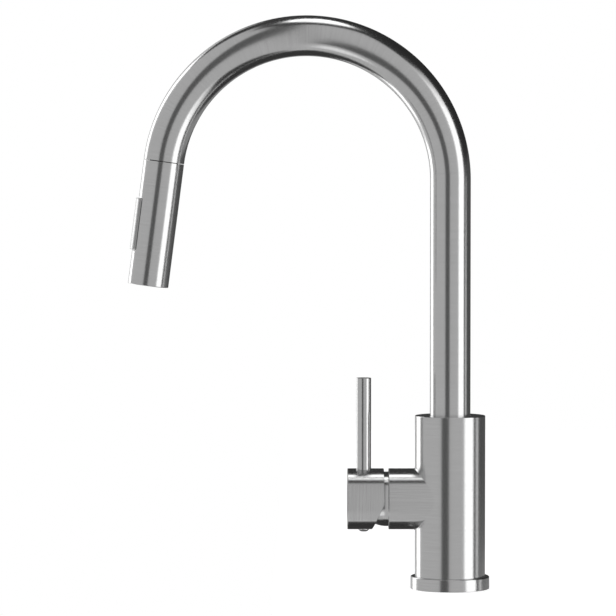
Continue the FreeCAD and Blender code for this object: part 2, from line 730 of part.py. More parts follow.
def inlet_socket():
    body = rod(INLET_R, INLET_TOP, INLET_FLANGE_S)
    body = body.fuse(rod(HEAD_CORE_R, INLET_FLANGE_S, INLET_FLANGE_S + INLET_FLANGE_T))
    body = body.fuse(rod(INLET_BODY_R, INLET_FLANGE_S, INLET_END - SEAT))
    body = body.cut(rod(SPIGOT_R + RUN, -BIG, FILTER_S))
    body = body.cut(rod(CHECK_R, FILTER_S, BIG))
    clip_end = SWIVEL_CLIP_S + SWIVEL_CLIP_T
    wide = SPIGOT_R + 2 * SWIVEL_GROOVE
    body = body.cut(block(-wide, BIG, wide, SWIVEL_CLIP_S - SEAT, clip_end + SEAT))
    start = INLET_END - 2 * RING_R
    groove = tube(INLET_SEAL_R + RING_R + SEAT, INLET_SEAL_R - RING_R - SEAT, start, INLET_END)
    return at_head(body.cut(groove))


def swivel_clip():
    clip_end = SWIVEL_CLIP_S + SWIVEL_CLIP_T
    wide = SPIGOT_R + 2 * SWIVEL_GROOVE - SEAT
    plate = block(-wide, INLET_R, wide, SWIVEL_CLIP_S, clip_end)
    plate = plate.common(rod(INLET_R, SWIVEL_CLIP_S, clip_end))
    waist = SPIGOT_R - SWIVEL_GROOVE + RUN
    plate = plate.cut(rod(waist, SWIVEL_CLIP_S, clip_end))
    return at_head(plate.cut(block(-BIG, 0, waist, SWIVEL_CLIP_S, clip_end)))


def strike_ring():
    return at_head(tube(INLET_R, INLET_R - STRIKE_W, STRIKE_TOP, INLET_TOP))


def inlet_filter():
    disc = rod(CHECK_R - SEAT, FILTER_S, FILTER_S + FILTER_T)
    mesh = hole_field(CHECK_R - FILTER_RIM, SCREEN_HOLE_R, SCREEN_PITCH, FILTER_S, FILTER_T)
    return at_head(disc.cut(mesh))


def check_valve():
    return at_head(tube(CHECK_R - SEAT, CHECK_BORE, CHECK_S, CHECK_S + CHECK_LEN))


def inlet_seal():
    return at_head(o_ring(INLET_SEAL_R, RING_R - SEAT, INLET_END - RING_R - SEAT))


def head_shell():
    shell = rod(HEAD_R, HEAD_SEAM, HEAD_LEN)
    shell = shell.makeFillet(HEAD_ROUND, circles_at(shell, HEAD_LEN))
    shell = shell.makeChamfer(EDGE_BREAK, circles_at(shell, HEAD_SEAM))
    shell = shell.cut(rod(HEAD_BORE_R, -BIG, BIG))
    window = button_outline(CLEAR, BUTTON_END_GAP)
    return at_head(shell.cut(window))


def button_outline(side_gap, end_gap):
    """Rounded bar on the button's side of the head, grown by the gaps."""
    half = BUTTON_W / 2 + side_gap
    bar = block(0, HEAD_R + BIG, half, BUTTON_S - end_gap, BUTTON_END + end_gap)
    corners = [e for e in bar.Edges if e.BoundBox.XLength > BIG]
    return bar.makeFillet(BUTTON_ROUND + side_gap, corners)


def toggle_button():
    pad = button_outline(0, 0).common(rod(BUTTON_R, BUTTON_S, BUTTON_END))
    pad = pad.cut(block(-BIG, BUTTON_BACK, BIG, -BIG, BIG))
    lug = cross_rod(LUG_R, LUG_W / 2, BUTTON_PIN_F, BUTTON_MID)
    lug = lug.fuse(block(BUTTON_PIN_F, BUTTON_BACK, LUG_W / 2, BUTTON_MID - LUG_R, BUTTON_MID + LUG_R))
    half = FINGER_W / 2
    finger = block(FINGER_F, BUTTON_PIN_F, half, BUTTON_MID - half, BUTTON_MID + half)
    button = pad.fuse([lug, finger]).removeSplitter()
    return at_head(button.cut(cross_rod(BUTTON_PIN_R + RUN, BIG, BUTTON_PIN_F, BUTTON_MID)))


def button_pin():
    return at_head(cross_rod(BUTTON_PIN_R, BUTTON_PIN_HALF, BUTTON_PIN_F, BUTTON_MID))


def along_spool(shape):
    moved = shape.copy()
    moved.translate(Vector(SPOOL_F, 0, 0))
    return moved


def spool_ring_places():
    return SPOOL_START + SPOOL_RING_IN, SPOOL_END - SPOOL_RING_IN


def diverter_body():
    core = rod(HEAD_CORE_R, INLET_END, DIVERTER_END)
    core = core.fuse(tube(DIVIDER_R, AERATOR_R + SEAT, DIVERTER_END, MAT_S - SEAT))
    lean_room = 2 * BUTTON_END_GAP
    core = core.cut(block(BUTTON_FLOOR, BIG, BIG, BUTTON_S - lean_room, BUTTON_END + lean_room))
    reach = LUG_ROOM / 2 + LUG_R
    lug_half = LUG_W / 2 + CLEAR
    lug_floor = BUTTON_PIN_F - LUG_R - CLEAR
    core = core.cut(block(lug_floor, BIG, lug_half, BUTTON_MID - reach, BUTTON_MID + reach))
    finger_half = FINGER_W / 2 + CLEAR
    core = core.cut(block(SPOOL_F, BIG, finger_half, BUTTON_MID - LUG_ROOM / 2, BUTTON_MID + LUG_ROOM / 2))
    core = core.cut(cross_rod(BUTTON_PIN_R + SEAT, BUTTON_PIN_HALF, BUTTON_PIN_F, BUTTON_MID))
    core = core.cut(along_spool(rod(SPOOL_R + RUN, SPOOL_BORE_START, SPOOL_BORE_END)))
    core = core.cut(along_spool(rod(FEED_R, -BIG, SPOOL_BORE_START)))
    core = core.cut(along_spool(rod(FEED_R, SPOOL_BORE_END, BIG)))
    side_way = Part.makeCylinder(SPRAY_R, BIG, Vector(SPRAY_F, 0, SPRAY_S))
    core = core.cut(side_way)
    return at_head(core.cut(upright_rod(SPRAY_R, SPRAY_F, SPOOL_F, SPRAY_S)))


def diverter_spool():
    spool = rod(SPOOL_R, SPOOL_START, SPOOL_END)
    for place in spool_ring_places():
        start = place - RING_R - SEAT
        end = place + RING_R + SEAT
        spool = spool.cut(tube(BIG, SPOOL_R - 2 * RING_R, start, end))
    spool = along_spool(spool)
    half = FINGER_W / 2 + FINGER_GAP
    floor = FINGER_F - CLEAR
    return at_head(spool.cut(block(floor, BIG, BIG, BUTTON_MID - half, BUTTON_MID + half)))


def spool_seals():
    rings = [along_spool(o_ring(SPOOL_R - RING_R, RING_R - SEAT, s)) for s in spool_ring_places()]
    return at_head(Part.makeCompound(rings))


# Spray face


def hole_field(limit, radius, pitch, start, depth):
    """Round holes on a hexagonal grid inside a circle."""
    rows = int(limit / pitch) + 1
    holes = []
    for row in range(-rows, rows + 1):
        y = row * pitch * math.sqrt(3) / 2
        for column in range(-2 * rows, 2 * rows + 1):
            x = (column + row / 2) * pitch
            if math.hypot(x, y) <= limit:
                holes.append(Part.makeCylinder(radius, depth, Vector(x, y, start)))
    return Part.makeCompound(holes)


def nozzle_places():
    places = []
    for ring in range(NOZZLE_RINGS):
        count = NOZZLE_FIRST_COUNT + ring * NOZZLE_STEP_COUNT
        radius = NOZZLE_FIRST_R + ring * NOZZLE_STEP_R
        for number in range(count):
            angle = 2 * math.pi * (number + ring / 2) / count
            places.append((radius * math.cos(angle), radius * math.sin(angle)))
    return places


def face_plate():
    plate = tube(HEAD_CORE_R, AERATOR_R + SEAT, FACE_S, FACE_END)
    holes = []
    for x, y in nozzle_places():
        holes.append(Part.makeCylinder(NOZZLE_R + SEAT, FACE_T, Vector(x, y, FACE_S)))
    return at_head(plate.cut(holes))


def nozzle_mat():
    mat = tube(HEAD_CORE_R, DIVIDER_R, MAT_S, FACE_S - SEAT)
    tip = FACE_END + NOZZLE_TIP
    nozzles = []
    jets = []
    for x, y in nozzle_places():
        nozzles.append(Part.makeCylinder(NOZZLE_R, tip - MAT_S, Vector(x, y, MAT_S)))
        jets.append(Part.makeCylinder(NOZZLE_JET_R, NOZZLE_JET_DEPTH, Vector(x, y, tip - NOZZLE_JET_DEPTH)))
    return at_head(mat.fuse(nozzles).cut(jets))


def aerator_housing():
    cup = rod(AERATOR_R, AERATOR_S, AERATOR_END)
    cup = cup.cut(rod(AERATOR_R - AERATOR_WALL, AERATOR_S, AERATOR_END - AERATOR_FLOOR))
    start = AERATOR_END - AERATOR_FLOOR
    inside = AERATOR_R - AERATOR_WALL - AERATOR_HOLE_R
    return at_head(cup.cut(hole_field(inside, AERATOR_HOLE_R, AERATOR_PITCH, start, AERATOR_FLOOR)))


def aerator_screen():
    inner = AERATOR_R - AERATOR_WALL - SEAT
    disc = rod(inner, SCREEN_S, SCREEN_S + SCREEN_T)
    disc = disc.cut(hole_field(inner - 2 * SCREEN_HOLE_R, SCREEN_HOLE_R, SCREEN_PITCH, SCREEN_S, SCREEN_T))
    return at_head(disc)


PIECES = (
    base_ring, base_seal, body_shell, valve_block,
    port_seals, cartridge_housing, fixed_disc, moving_disc, disc_driver,
    stem_carrier, stem_pin, valve_stem, cartridge_nut, dome_cap,
    handle_hub, lever_rod, grub_screw, screw_cap,
    spout_tube, spout_clip, spout_socket, lower_bush, spout_seals, upper_bush, thrust_ring,
    dock_bush, dock_magnet,
    hose_in_spout, hose_lead, hose_lower, hose_coupling,
    hose_ferrule, hose_connector, connector_seal,
    inlet_socket, swivel_clip, strike_ring, inlet_filter, check_valve, inlet_seal,
    head_shell, toggle_button, button_pin, diverter_body, diverter_spool, spool_seals,
    face_plate, nozzle_mat, aerator_housing, aerator_screen,
)

os.makedirs("parts", exist_ok=True)
for piece in PIECES:
    piece().exportStep("parts/" + piece.__name__ + ".step")
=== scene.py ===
import bmesh
import bpy
import json
import math
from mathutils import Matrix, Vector


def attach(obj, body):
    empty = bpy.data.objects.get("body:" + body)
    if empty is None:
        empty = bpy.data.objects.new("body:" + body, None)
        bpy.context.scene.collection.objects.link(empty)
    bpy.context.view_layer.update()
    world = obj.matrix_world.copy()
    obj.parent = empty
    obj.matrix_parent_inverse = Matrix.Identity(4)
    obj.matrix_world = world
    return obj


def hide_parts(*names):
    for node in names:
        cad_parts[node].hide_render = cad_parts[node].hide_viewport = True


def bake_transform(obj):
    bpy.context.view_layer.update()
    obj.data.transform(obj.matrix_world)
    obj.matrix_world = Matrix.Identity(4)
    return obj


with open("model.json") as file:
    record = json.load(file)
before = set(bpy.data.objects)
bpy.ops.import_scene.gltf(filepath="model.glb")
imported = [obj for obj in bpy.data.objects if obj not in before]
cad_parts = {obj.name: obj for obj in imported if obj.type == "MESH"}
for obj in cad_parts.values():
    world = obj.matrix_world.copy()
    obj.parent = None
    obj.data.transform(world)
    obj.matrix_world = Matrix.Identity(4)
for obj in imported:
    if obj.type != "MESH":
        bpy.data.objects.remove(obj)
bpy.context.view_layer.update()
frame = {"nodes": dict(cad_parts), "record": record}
MM = 0.001  # sizes of the faucet are in millimetres, and of the studio in metres

# Camera
# A long lens looks at the faucet's side from a little above the start of the arch, so that the top of the
# body and the base ring show as thin ellipses.
VIEW_DISTANCE = 2620 * MM
VIEW_HEIGHT = 310 * MM
AIM = Vector((-105.2, 0, 207.85)) * MM
VIEW_WIDTH = 455.4 * MM
lens = bpy.data.cameras.new("long_lens")
camera = bpy.data.objects.new("camera", lens)
bpy.context.scene.collection.objects.link(camera)
camera.location = (AIM.x, -VIEW_DISTANCE, VIEW_HEIGHT)
line_of_sight = AIM - camera.location
camera.rotation_euler = line_of_sight.to_track_quat("-Z", "Y").to_euler()
lens.sensor_width = 36
lens.lens = lens.sensor_width * line_of_sight.length / VIEW_WIDTH
lens.clip_end = 20
bpy.context.scene.camera = camera
bpy.context.scene.view_settings.view_transform = "Standard"


# Studio
# The faucet stands on white paper in a dark room. Grey cloths, two tall softboxes and one overhead are what
# the steel mirrors. A dark slot between the two front cloths is the place of the camera.
def linear(hex_colour):
    """Linear colour of an sRGB hex value."""
    values = [int(hex_colour[k:k + 2], 16) / 255 for k in (1, 3, 5)]
    return [v / 12.92 if v <= 0.04045 else ((v + 0.055) / 1.055) ** 2.4 for v in values] + [1.0]


def add(tree, kind, settings=None, inputs=None):
    """Add a node with its settings. An input is a plain value or another node's output socket."""
    node = tree.nodes.new(kind)
    for name, value in (settings or {}).items():
        setattr(node, name, value)
    for name, value in (inputs or {}).items():
        if isinstance(value, bpy.types.NodeSocket):
            tree.links.new(value, node.inputs[name])
        else:
            node.inputs[name].default_value = value
    return node


def blank_tree(owner):
    """Empty node tree of a material or world."""
    owner.use_nodes = True
    owner.node_tree.nodes.clear()
    return owner.node_tree


def seen_directly(tree):
    """1 for what the camera sees itself, in a mirror or through glass, and 0 for light on a surface."""
    path = add(tree, "ShaderNodeLightPath")
    first = add(tree, "ShaderNodeMath", {"operation": "MAXIMUM"},
                {0: path.outputs["Is Camera Ray"], 1: path.outputs["Is Glossy Ray"]})
    both = add(tree, "ShaderNodeMath", {"operation": "MAXIMUM"},
               {0: first.outputs[0], 1: path.outputs["Is Transmission Ray"]})
    return both.outputs[0]


ROOM_LIGHT = 0.5
world = bpy.data.worlds.new("white_background")
bpy.context.scene.world = world
tree = blank_tree(world)
shown = add(tree, "ShaderNodeMapRange", None,
            {"Value": seen_directly(tree), "To Min": ROOM_LIGHT, "To Max": 1.0})
backdrop = add(tree, "ShaderNodeBackground", None,
               {"Color": linear("#FFFFFF"), "Strength": shown.outputs[0]})
add(tree, "ShaderNodeOutputWorld", None, {"Surface": backdrop.outputs[0]})

# Each panel: its name, where it stands round the faucet in degrees (0 is the camera's side, positive to the
# right), its lower and upper edge in degrees, its distance in metres and its brightness.
PANELS = (
    ("room_right", 40, 170, -32, 8, 3.8, 0.10),
    ("room_right_low", 40, 170, -90, -32, 3.8, 0.05),
    ("room_right_high", 40, 170, 8, 90, 3.8, 0.03),
    ("room_front", -120, 45, -90, 90, 3.8, 0.05),
    ("room_left", -168, -115, -90, 90, 3.8, 0.05),
    ("room_back", 165, 195, -90, 90, 3.8, 0.05),
    ("grey_cloth_back", 104, 256, -26, -9, 3.65, 0.35),
    ("grey_cloth_left", -121, -29, -82, 65, 3.6, 0.6),
    ("grey_cloth_right", -4, 50, -82, 65, 3.6, 0.6),
    ("grey_cloth_low", -29, -4, -82, -42, 3.6, 0.6),
    ("camera_slot", -29, -4, -42, 65, 3.7, 0.12),
    ("pale_card_low", -52, -8, -70, -52, 3.5, 1.15),
    ("pale_floor_patch", -95, 95, -90, -80, 3.5, 0.75),
    ("softbox_right", 47, 80, -24, 27, 3.4, 1.85),
    ("softbox_right_upper_end", 47, 80, 27, 35, 3.4, 1.3),
    ("softbox_right_top", 47, 80, 35, 43, 3.4, 0.7),
    ("softbox_right_lower_end", 47, 80, -33, -24, 3.4, 1.4),
    ("softbox_right_foot", 47, 80, -40, -33, 3.4, 0.8),
    ("softbox_left", -143, -119, -11, 40, 3.4, 2.3),
    ("softbox_left_middle", -143, -119, -21, -11, 3.4, 1.1),
    ("softbox_left_foot", -143, -119, -42, -21, 3.4, 2.1),
    ("grey_cloth_back_left", -168, -143, -40, 40, 3.5, 0.65),
    ("grey_cloth_left_high", -125, -40, 64, 71, 3.6, 0.6),
    ("grey_card_right", 91, 103, -58, 1, 3.4, 0.75),
)
PANEL_STEP = 3
STUDIO_CENTRE = Vector((-100, 0, 200)) * MM


def hang(cloth, bm, brightness):
    """Hang up a glowing cloth that the steel mirrors, and that the camera itself does not see."""
    tree = cloth.node_tree
    glow = add(tree, "ShaderNodeEmission", None, {"Strength": brightness})
    add(tree, "ShaderNodeOutputMaterial", None, {"Surface": glow.outputs[0]})
    mesh = bpy.data.meshes.new(cloth.name)
    bm.to_mesh(mesh)
    bm.free()
    mesh.materials.append(cloth)
    stand = bpy.data.objects.new(cloth.name, mesh)
    bpy.context.scene.collection.objects.link(stand)
    stand.visible_camera = False


def panel(name, left, right, low, high, radius, brightness):
    """Hang a cloth as a patch of a ball round the faucet."""
    wide = max(2, round((right - left) / PANEL_STEP))
    tall = max(2, round((high - low) / PANEL_STEP))
    bm = bmesh.new()
    grid = []
    for i in range(tall + 1):
        rise = math.radians(low + (high - low) * i / tall)
        row = []
        for j in range(wide + 1):
            turn = math.radians(left + (right - left) * j / wide)
            flat = radius * math.cos(rise)
            point = Vector((flat * math.sin(turn), -flat * math.cos(turn), radius * math.sin(rise)))
            row.append(bm.verts.new(STUDIO_CENTRE + point))
        grid.append(row)
    for low_row, high_row in zip(grid, grid[1:]):
        for a, b, c, d in zip(low_row, low_row[1:], high_row[1:], high_row):
            bm.faces.new((d, c, b, a))
    bmesh.ops.remove_doubles(bm, verts=bm.verts, dist=MM)
    cloth = bpy.data.materials.new(name)
    blank_tree(cloth)
    hang(cloth, bm, brightness)


for row in PANELS:
    panel(*row)

# The overhead softbox is an oval cloth that gets dimmer towards the camera.
OVERHEAD_RADIUS = 0.92
OVERHEAD_NARROW = 0.77
OVERHEAD_BACK = 0.26
OVERHEAD_RIGHT = 0.27
OVERHEAD_HEIGHT = 3.4
OVERHEAD_DIM = 0.9
OVERHEAD_BRIGHT = 2.5
OVERHEAD_STEPS = 48
bm = bmesh.new()
bmesh.ops.create_circle(bm, cap_ends=True, segments=OVERHEAD_STEPS, radius=OVERHEAD_RADIUS)
bmesh.ops.scale(bm, verts=bm.verts, vec=(OVERHEAD_NARROW, 1, 1))
overhead_place = Vector((OVERHEAD_RIGHT, OVERHEAD_BACK, OVERHEAD_HEIGHT))
bmesh.ops.translate(bm, verts=bm.verts, vec=STUDIO_CENTRE + overhead_place)
cloth = bpy.data.materials.new("softbox_overhead")
tree = blank_tree(cloth)
place = add(tree, "ShaderNodeTexCoord").outputs["Object"]
place = add(tree, "ShaderNodeSeparateXYZ", None, {"Vector": place})
fall_off = add(tree, "ShaderNodeMapRange", None,
               {"Value": place.outputs["Y"], "To Min": OVERHEAD_DIM, "To Max": OVERHEAD_BRIGHT,
                "From Min": OVERHEAD_BACK - OVERHEAD_RADIUS, "From Max": OVERHEAD_BACK}).outputs[0]
hang(cloth, bm, fall_off)

# The paper ends on the spray head's side, as a worktop ends at its sink, so that the head can be pulled past
# it. It glows a little to the eye, so that it is as white as the background behind it.
FLOOR_SIZE = 1.6
FLOOR_EDGE = -0.13
PAPER = "#E6E6E6"
PAPER_GLOW = 0.75
floor_mesh = bpy.data.meshes.new("paper")
floor_mesh.from_pydata([(FLOOR_EDGE, -FLOOR_SIZE, 0), (FLOOR_SIZE, -FLOOR_SIZE, 0),
                        (FLOOR_SIZE, FLOOR_SIZE, 0), (FLOOR_EDGE, FLOOR_SIZE, 0)], [], [(0, 1, 2, 3)])
paper = bpy.data.materials.new("white_paper")
tree = blank_tree(paper)
matte = add(tree, "ShaderNodeBsdfDiffuse", None, {"Color": linear(PAPER)})
lift = add(tree, "ShaderNodeMath", {"operation": "MULTIPLY"}, {0: seen_directly(tree), 1: PAPER_GLOW})
glow = add(tree, "ShaderNodeEmission", None, {"Strength": lift.outputs[0]})
both = add(tree, "ShaderNodeAddShader", None, {0: matte.outputs[0], 1: glow.outputs[0]})
add(tree, "ShaderNodeOutputMaterial", None, {"Surface": both.outputs[0]})
floor_mesh.materials.append(paper)
floor = bpy.data.objects.new("paper_floor", floor_mesh)
bpy.context.scene.collection.objects.link(floor)
floor.visible_glossy = False

# Base ring
# A turned stainless ring that stands on the deck and takes the foot of the body in its bore. A groove under
# it holds the deck seal. It is brushed on the lathe, so its hairlines run round it.
BODY_R = 26.0
BASE_R = 29.2
BASE_H = 9.3
BASE_ROUND = 0.9
BASE_BORE = 26.05
LEDGE_R = 22.0
LEDGE_T = 3.0
GROOVE_IN = 24.1
GROOVE_OUT = 27.1
GROOVE_T = 1.6
FOOT_EDGE = 0.3
BORE_EDGE = 0.25
LEDGE_EDGE = 0.3
ROUND_STEPS = 192
EDGE_STEPS = 5
EDGE_ANGLES = [math.pi / 2 * n / EDGE_STEPS for n in range(1, EDGE_STEPS + 1)]
SAME_POINT = 0.0005 * MM


def rounded(corners):
    """Closed section through corners of (along the axis, from the axis, edge radius)."""
    section = []
    for k, (u, v, radius) in enumerate(corners):
        here = Vector((u, v))
        if radius == 0:
            section.append(here)
            continue
        before = (Vector(corners[k - 1][:2]) - here).normalized()
        after = (Vector(corners[(k + 1) % len(corners)][:2]) - here).normalized()
        half = before.angle(after) / 2
        centre = here + (before + after).normalized() * (radius / math.sin(half))
        first = here + before * (radius / math.tan(half))
        last = here + after * (radius / math.tan(half))
        for n in range(EDGE_STEPS + 1):
            mid = first.lerp(last, n / EDGE_STEPS) - centre
            section.append(centre + mid.normalized() * radius)
    return section


def turned(section, foot, axis, side):
    """Solid of revolution of a closed section about the line from foot along axis, in millimetres."""
    other = axis.cross(side)
    bm = bmesh.new()
    rings = []
    for k in range(ROUND_STEPS):
        angle = 2 * math.pi * k / ROUND_STEPS
        out = side * math.cos(angle) + other * math.sin(angle)
        rings.append([bm.verts.new((foot + axis * u + out * v) * MM) for u, v in section])
    for ring, following in zip(rings, rings[1:] + rings[:1]):
        for n in range(len(section)):
            bm.faces.new((ring[n - 1], ring[n], following[n], following[n - 1]))
    bmesh.ops.remove_doubles(bm, verts=bm.verts, dist=SAME_POINT)
    return bm


SHARP_EDGE = math.radians(25)


def finish_piece(name, bm, material, body, slot, *stands_for):
    """Make the mesh an object with clean shading, tie it to its body, and hide the CAD nodes it stands for.

    Its slot is not used.
    """
    bmesh.ops.recalc_face_normals(bm, faces=bm.faces)
    mesh = bpy.data.meshes.new(name)
    bm.to_mesh(mesh)
    bm.free()
    mesh.materials.append(material)
    mesh.shade_smooth()
    mesh.set_sharp_from_angle(angle=SHARP_EDGE)
    item = bpy.data.objects.new(name, mesh)
    bpy.context.scene.collection.objects.link(item)
    evener = item.modifiers.new("even_shading", "WEIGHTED_NORMAL")
    evener.keep_sharp = True
    shaded = item.evaluated_get(bpy.context.evaluated_depsgraph_get())
    item.data = bpy.data.meshes.new_from_object(shaded)
    item.modifiers.clear()
    item.data.name = name
    if body:
        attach(item, body)
    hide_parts(*stands_for)
    return item


# Brushed stainless steel: a satin mirror with faint hairlines round each turned piece. Real hairlines are
# about 0.05 mm wide, and are drawn 0.4 mm wide so that they show at all.
STEEL = "#CFCFCF"
STEEL_GROOVE = "#C7C7C7"
HAIR_WIDTH = 0.4
HAIR_LENGTH = 30.0
HAIR_DETAIL = 3.0
HAIR_BREAKS = 0.6
HAIR_LOW = 0.3
HAIR_HIGH = 0.7
HAIR_RELIEF = 0.04
HAIR_DEPTH = 0.02
ROUGH_IN_HAIRS = 0.22
ROUGH_BETWEEN = 0.16
# Sockets of a Mix node that mixes two colours, which share their names with those for other kinds of value.
MIX_FACTOR, MIX_FIRST, MIX_SECOND, MIX_RESULT = 0, 6, 7, 2


def brushed_steel(name, foot, turn=0.0, reach=100.0, attribute=None, duller=0.0):
    """Stainless steel with hairlines round a line through foot, upright before a turn about Y in degrees.

    On an end face they run in circles, out to a reach in millimetres. A bent piece names an attribute of its
    mesh that holds its own place under the brush."""
    material = bpy.data.materials.new(name)
    tree = blank_tree(material)
    if attribute:
        brushed = add(tree, "ShaderNodeAttribute", {"attribute_name": attribute}).outputs["Vector"]
    else:
        place = add(tree, "ShaderNodeTexCoord").outputs["Object"]
        own = add(tree, "ShaderNodeMapping", {"vector_type": "TEXTURE"},
                  {"Vector": place, "Location": foot * MM, "Rotation": (0, math.radians(turn), 0)}).outputs[0]
        part = add(tree, "ShaderNodeSeparateXYZ", None, {"Vector": own}).outputs
        spoke = add(tree, "ShaderNodeCombineXYZ", None, {"X": part["X"], "Y": part["Y"]}).outputs[0]
        out = add(tree, "ShaderNodeVectorMath", {"operation": "LENGTH"}, {0: spoke}).outputs["Value"]
        out = add(tree, "ShaderNodeMath", {"operation": "MINIMUM"}, {0: out, 1: reach * MM}).outputs[0]
        along = add(tree, "ShaderNodeMath", {"operation": "ADD"}, {0: part["Z"], 1: out}).outputs[0]
        brushed = add(tree, "ShaderNodeCombineXYZ", None,
                      {"X": part["X"], "Y": part["Y"], "Z": along}).outputs[0]
    hair = [1 / (size * MM) for size in (HAIR_LENGTH, HAIR_LENGTH, HAIR_WIDTH)]
    stretched = add(tree, "ShaderNodeMapping", None, {"Vector": brushed, "Scale": hair})
    hairs = add(tree, "ShaderNodeTexNoise", None,
                {"Vector": stretched.outputs[0], "Scale": 1.0, "Detail": HAIR_DETAIL,
                 "Roughness": HAIR_BREAKS}).outputs["Fac"]
    level = add(tree, "ShaderNodeMapRange", None,
                {"Value": hairs, "From Min": HAIR_LOW, "From Max": HAIR_HIGH}).outputs[0]
    tint = add(tree, "ShaderNodeMix", {"data_type": "RGBA"},
               {MIX_FACTOR: level, MIX_FIRST: linear(STEEL_GROOVE), MIX_SECOND: linear(STEEL)})
    gloss = add(tree, "ShaderNodeMapRange", None,
                {"Value": level, "To Min": ROUGH_IN_HAIRS + duller,
                 "To Max": ROUGH_BETWEEN + duller}).outputs[0]
    relief = add(tree, "ShaderNodeBump", None,
                 {"Height": hairs, "Strength": HAIR_RELIEF, "Distance": HAIR_DEPTH * MM}).outputs[0]
    shade = add(tree, "ShaderNodeBsdfPrincipled", None,
                {"Base Color": tint.outputs[MIX_RESULT], "Metallic": 1.0, "Roughness": gloss,
                 "Normal": relief})
    add(tree, "ShaderNodeOutputMaterial", None, {"Surface": shade.outputs[0]})
    return material


X = Vector((1, 0, 0))
Y = Vector((0, 1, 0))
Z = Vector((0, 0, 1))
column_steel = brushed_steel("brushed_stainless_column", Vector(), reach=BODY_R)
section = rounded([
    (0, LEDGE_R, 0), (0, GROOVE_IN, 0), (GROOVE_T, GROOVE_IN, 0), (GROOVE_T, GROOVE_OUT, 0),
    (0, GROOVE_OUT, 0), (0, BASE_R, FOOT_EDGE), (BASE_H, BASE_R, BASE_ROUND),
    (BASE_H, BASE_BORE, BORE_EDGE), (LEDGE_T, BASE_BORE, 0), (LEDGE_T, LEDGE_R, LEDGE_EDGE)])
finish_piece("base_ring_turned", turned(section, Vector(), Z, X), column_steel,
             "body", "brushed_stainless", "base_ring")

# Body with the handle barrel
# A stainless column with a short barrel welded into its side. The weld is ground to a small even fillet and
# brushed over, so column and barrel read as one piece. The barrel is bored for the mixing cartridge.
BODY_TOP = 128.3
BODY_EDGE = 0.5
BODY_BORE = 23.5
CAP_UNDER = 122.3
SPOUT_HOLE = 15.3
HOLE_EDGE = 0.3
BARREL_R = 22.6
BARREL_Z = 66.4
BARREL_END = -45.6
BARREL_EDGE = 0.35
BARREL_EDGE_STEPS = 4
WELD_TOP = 1.2
WELD_LEAST = 0.03
NUT_BORE = 19.9
NUT_EDGE = 0.2
CARTRIDGE_BORE = 17.55
BORE_STEP = -41.0
WELD_STEPS = 6
# Rows of a wall, as shares of its length. The second one lies close to the weld, to keep its shading off the
# flat of the wall.
WALL_ROWS = [0, 0.003] + [n / 10 for n in range(1, 11)]
QUARTER = ROUND_STEPS // 4
BACK_COLUMNS = 110
NEAR_POINT = 0.002 * MM


def weld_line(column_r, barrel_r, welded, angle):
    """Point on the column, fillet centre and point on the barrel, at an angle round the barrel."""
    fillet = WELD_TOP * math.cos(angle) ** 4
    if not welded or fillet < WELD_LEAST:
        fillet = 0.0
    side = (barrel_r + fillet) * math.sin(angle)
    height = (barrel_r + fillet) * math.cos(angle)
    centre = Vector((-math.sqrt((column_r + fillet) ** 2 - side ** 2), side, height))
    shrink = column_r / (column_r + fillet)
    on_column = Vector((centre.x * shrink, centre.y * shrink, centre.z))
    on_barrel = Vector((centre.x, barrel_r * math.sin(angle), barrel_r * math.cos(angle)))
    return on_column, centre, on_barrel


def column_wall(bm, column_r, barrel_r, welded, low, high):
    """Column wall with the barrel's hole left open. Returns its angles, lowest ring and highest ring."""
    columns = []
    for k in range(-QUARTER, QUARTER + 1):
        edge = weld_line(column_r, barrel_r, welded, math.pi / 2 * k / QUARTER)[0]
        columns.append((math.asin(edge.y / column_r), BARREL_Z - edge.z, BARREL_Z + edge.z))
    last = columns[-1][0]
    for k in range(1, BACK_COLUMNS):
        columns.append((last + (2 * math.pi - 2 * last) * k / BACK_COLUMNS, BARREL_Z, BARREL_Z))
    strips = []
    for angle, hole_low, hole_high in columns:
        out = Vector((-math.cos(angle), math.sin(angle), 0)) * column_r
        lower = [hole_low + (low - hole_low) * n for n in WALL_ROWS[::-1]]
        upper = [hole_high + (high - hole_high) * n for n in WALL_ROWS]
        strips.append([[bm.verts.new((out + Z * z) * MM) for z in part] for part in (lower, upper)])
    for strip, following in zip(strips, strips[1:] + strips[:1]):
        for part, next_part in zip(strip, following):
            for a, b, c, d in zip(part, next_part, next_part[1:], part[1:]):
                bm.faces.new((a, b, c, d))
    angles = [c[0] for c in columns]
    return angles, [s[0][0] for s in strips], [s[1][-1] for s in strips]


def rings_between(bm, rings):
    """Faces between rings of vertices that have the same count."""
    for ring, following in zip(rings, rings[1:]):
        for k in range(len(ring)):
            bm.faces.new((ring[k - 1], ring[k], following[k], following[k - 1]))


def barrel_ring(bm, spots, turns):
    """Ring of vertices at spots of (x, radius), each at its angle round the barrel's axis."""
    ring = []
    for (x, radius), turn in zip(spots, turns):
        point = Vector((x, radius * math.sin(turn), BARREL_Z + radius * math.cos(turn)))
        ring.append(bm.verts.new(point * MM))
    return ring


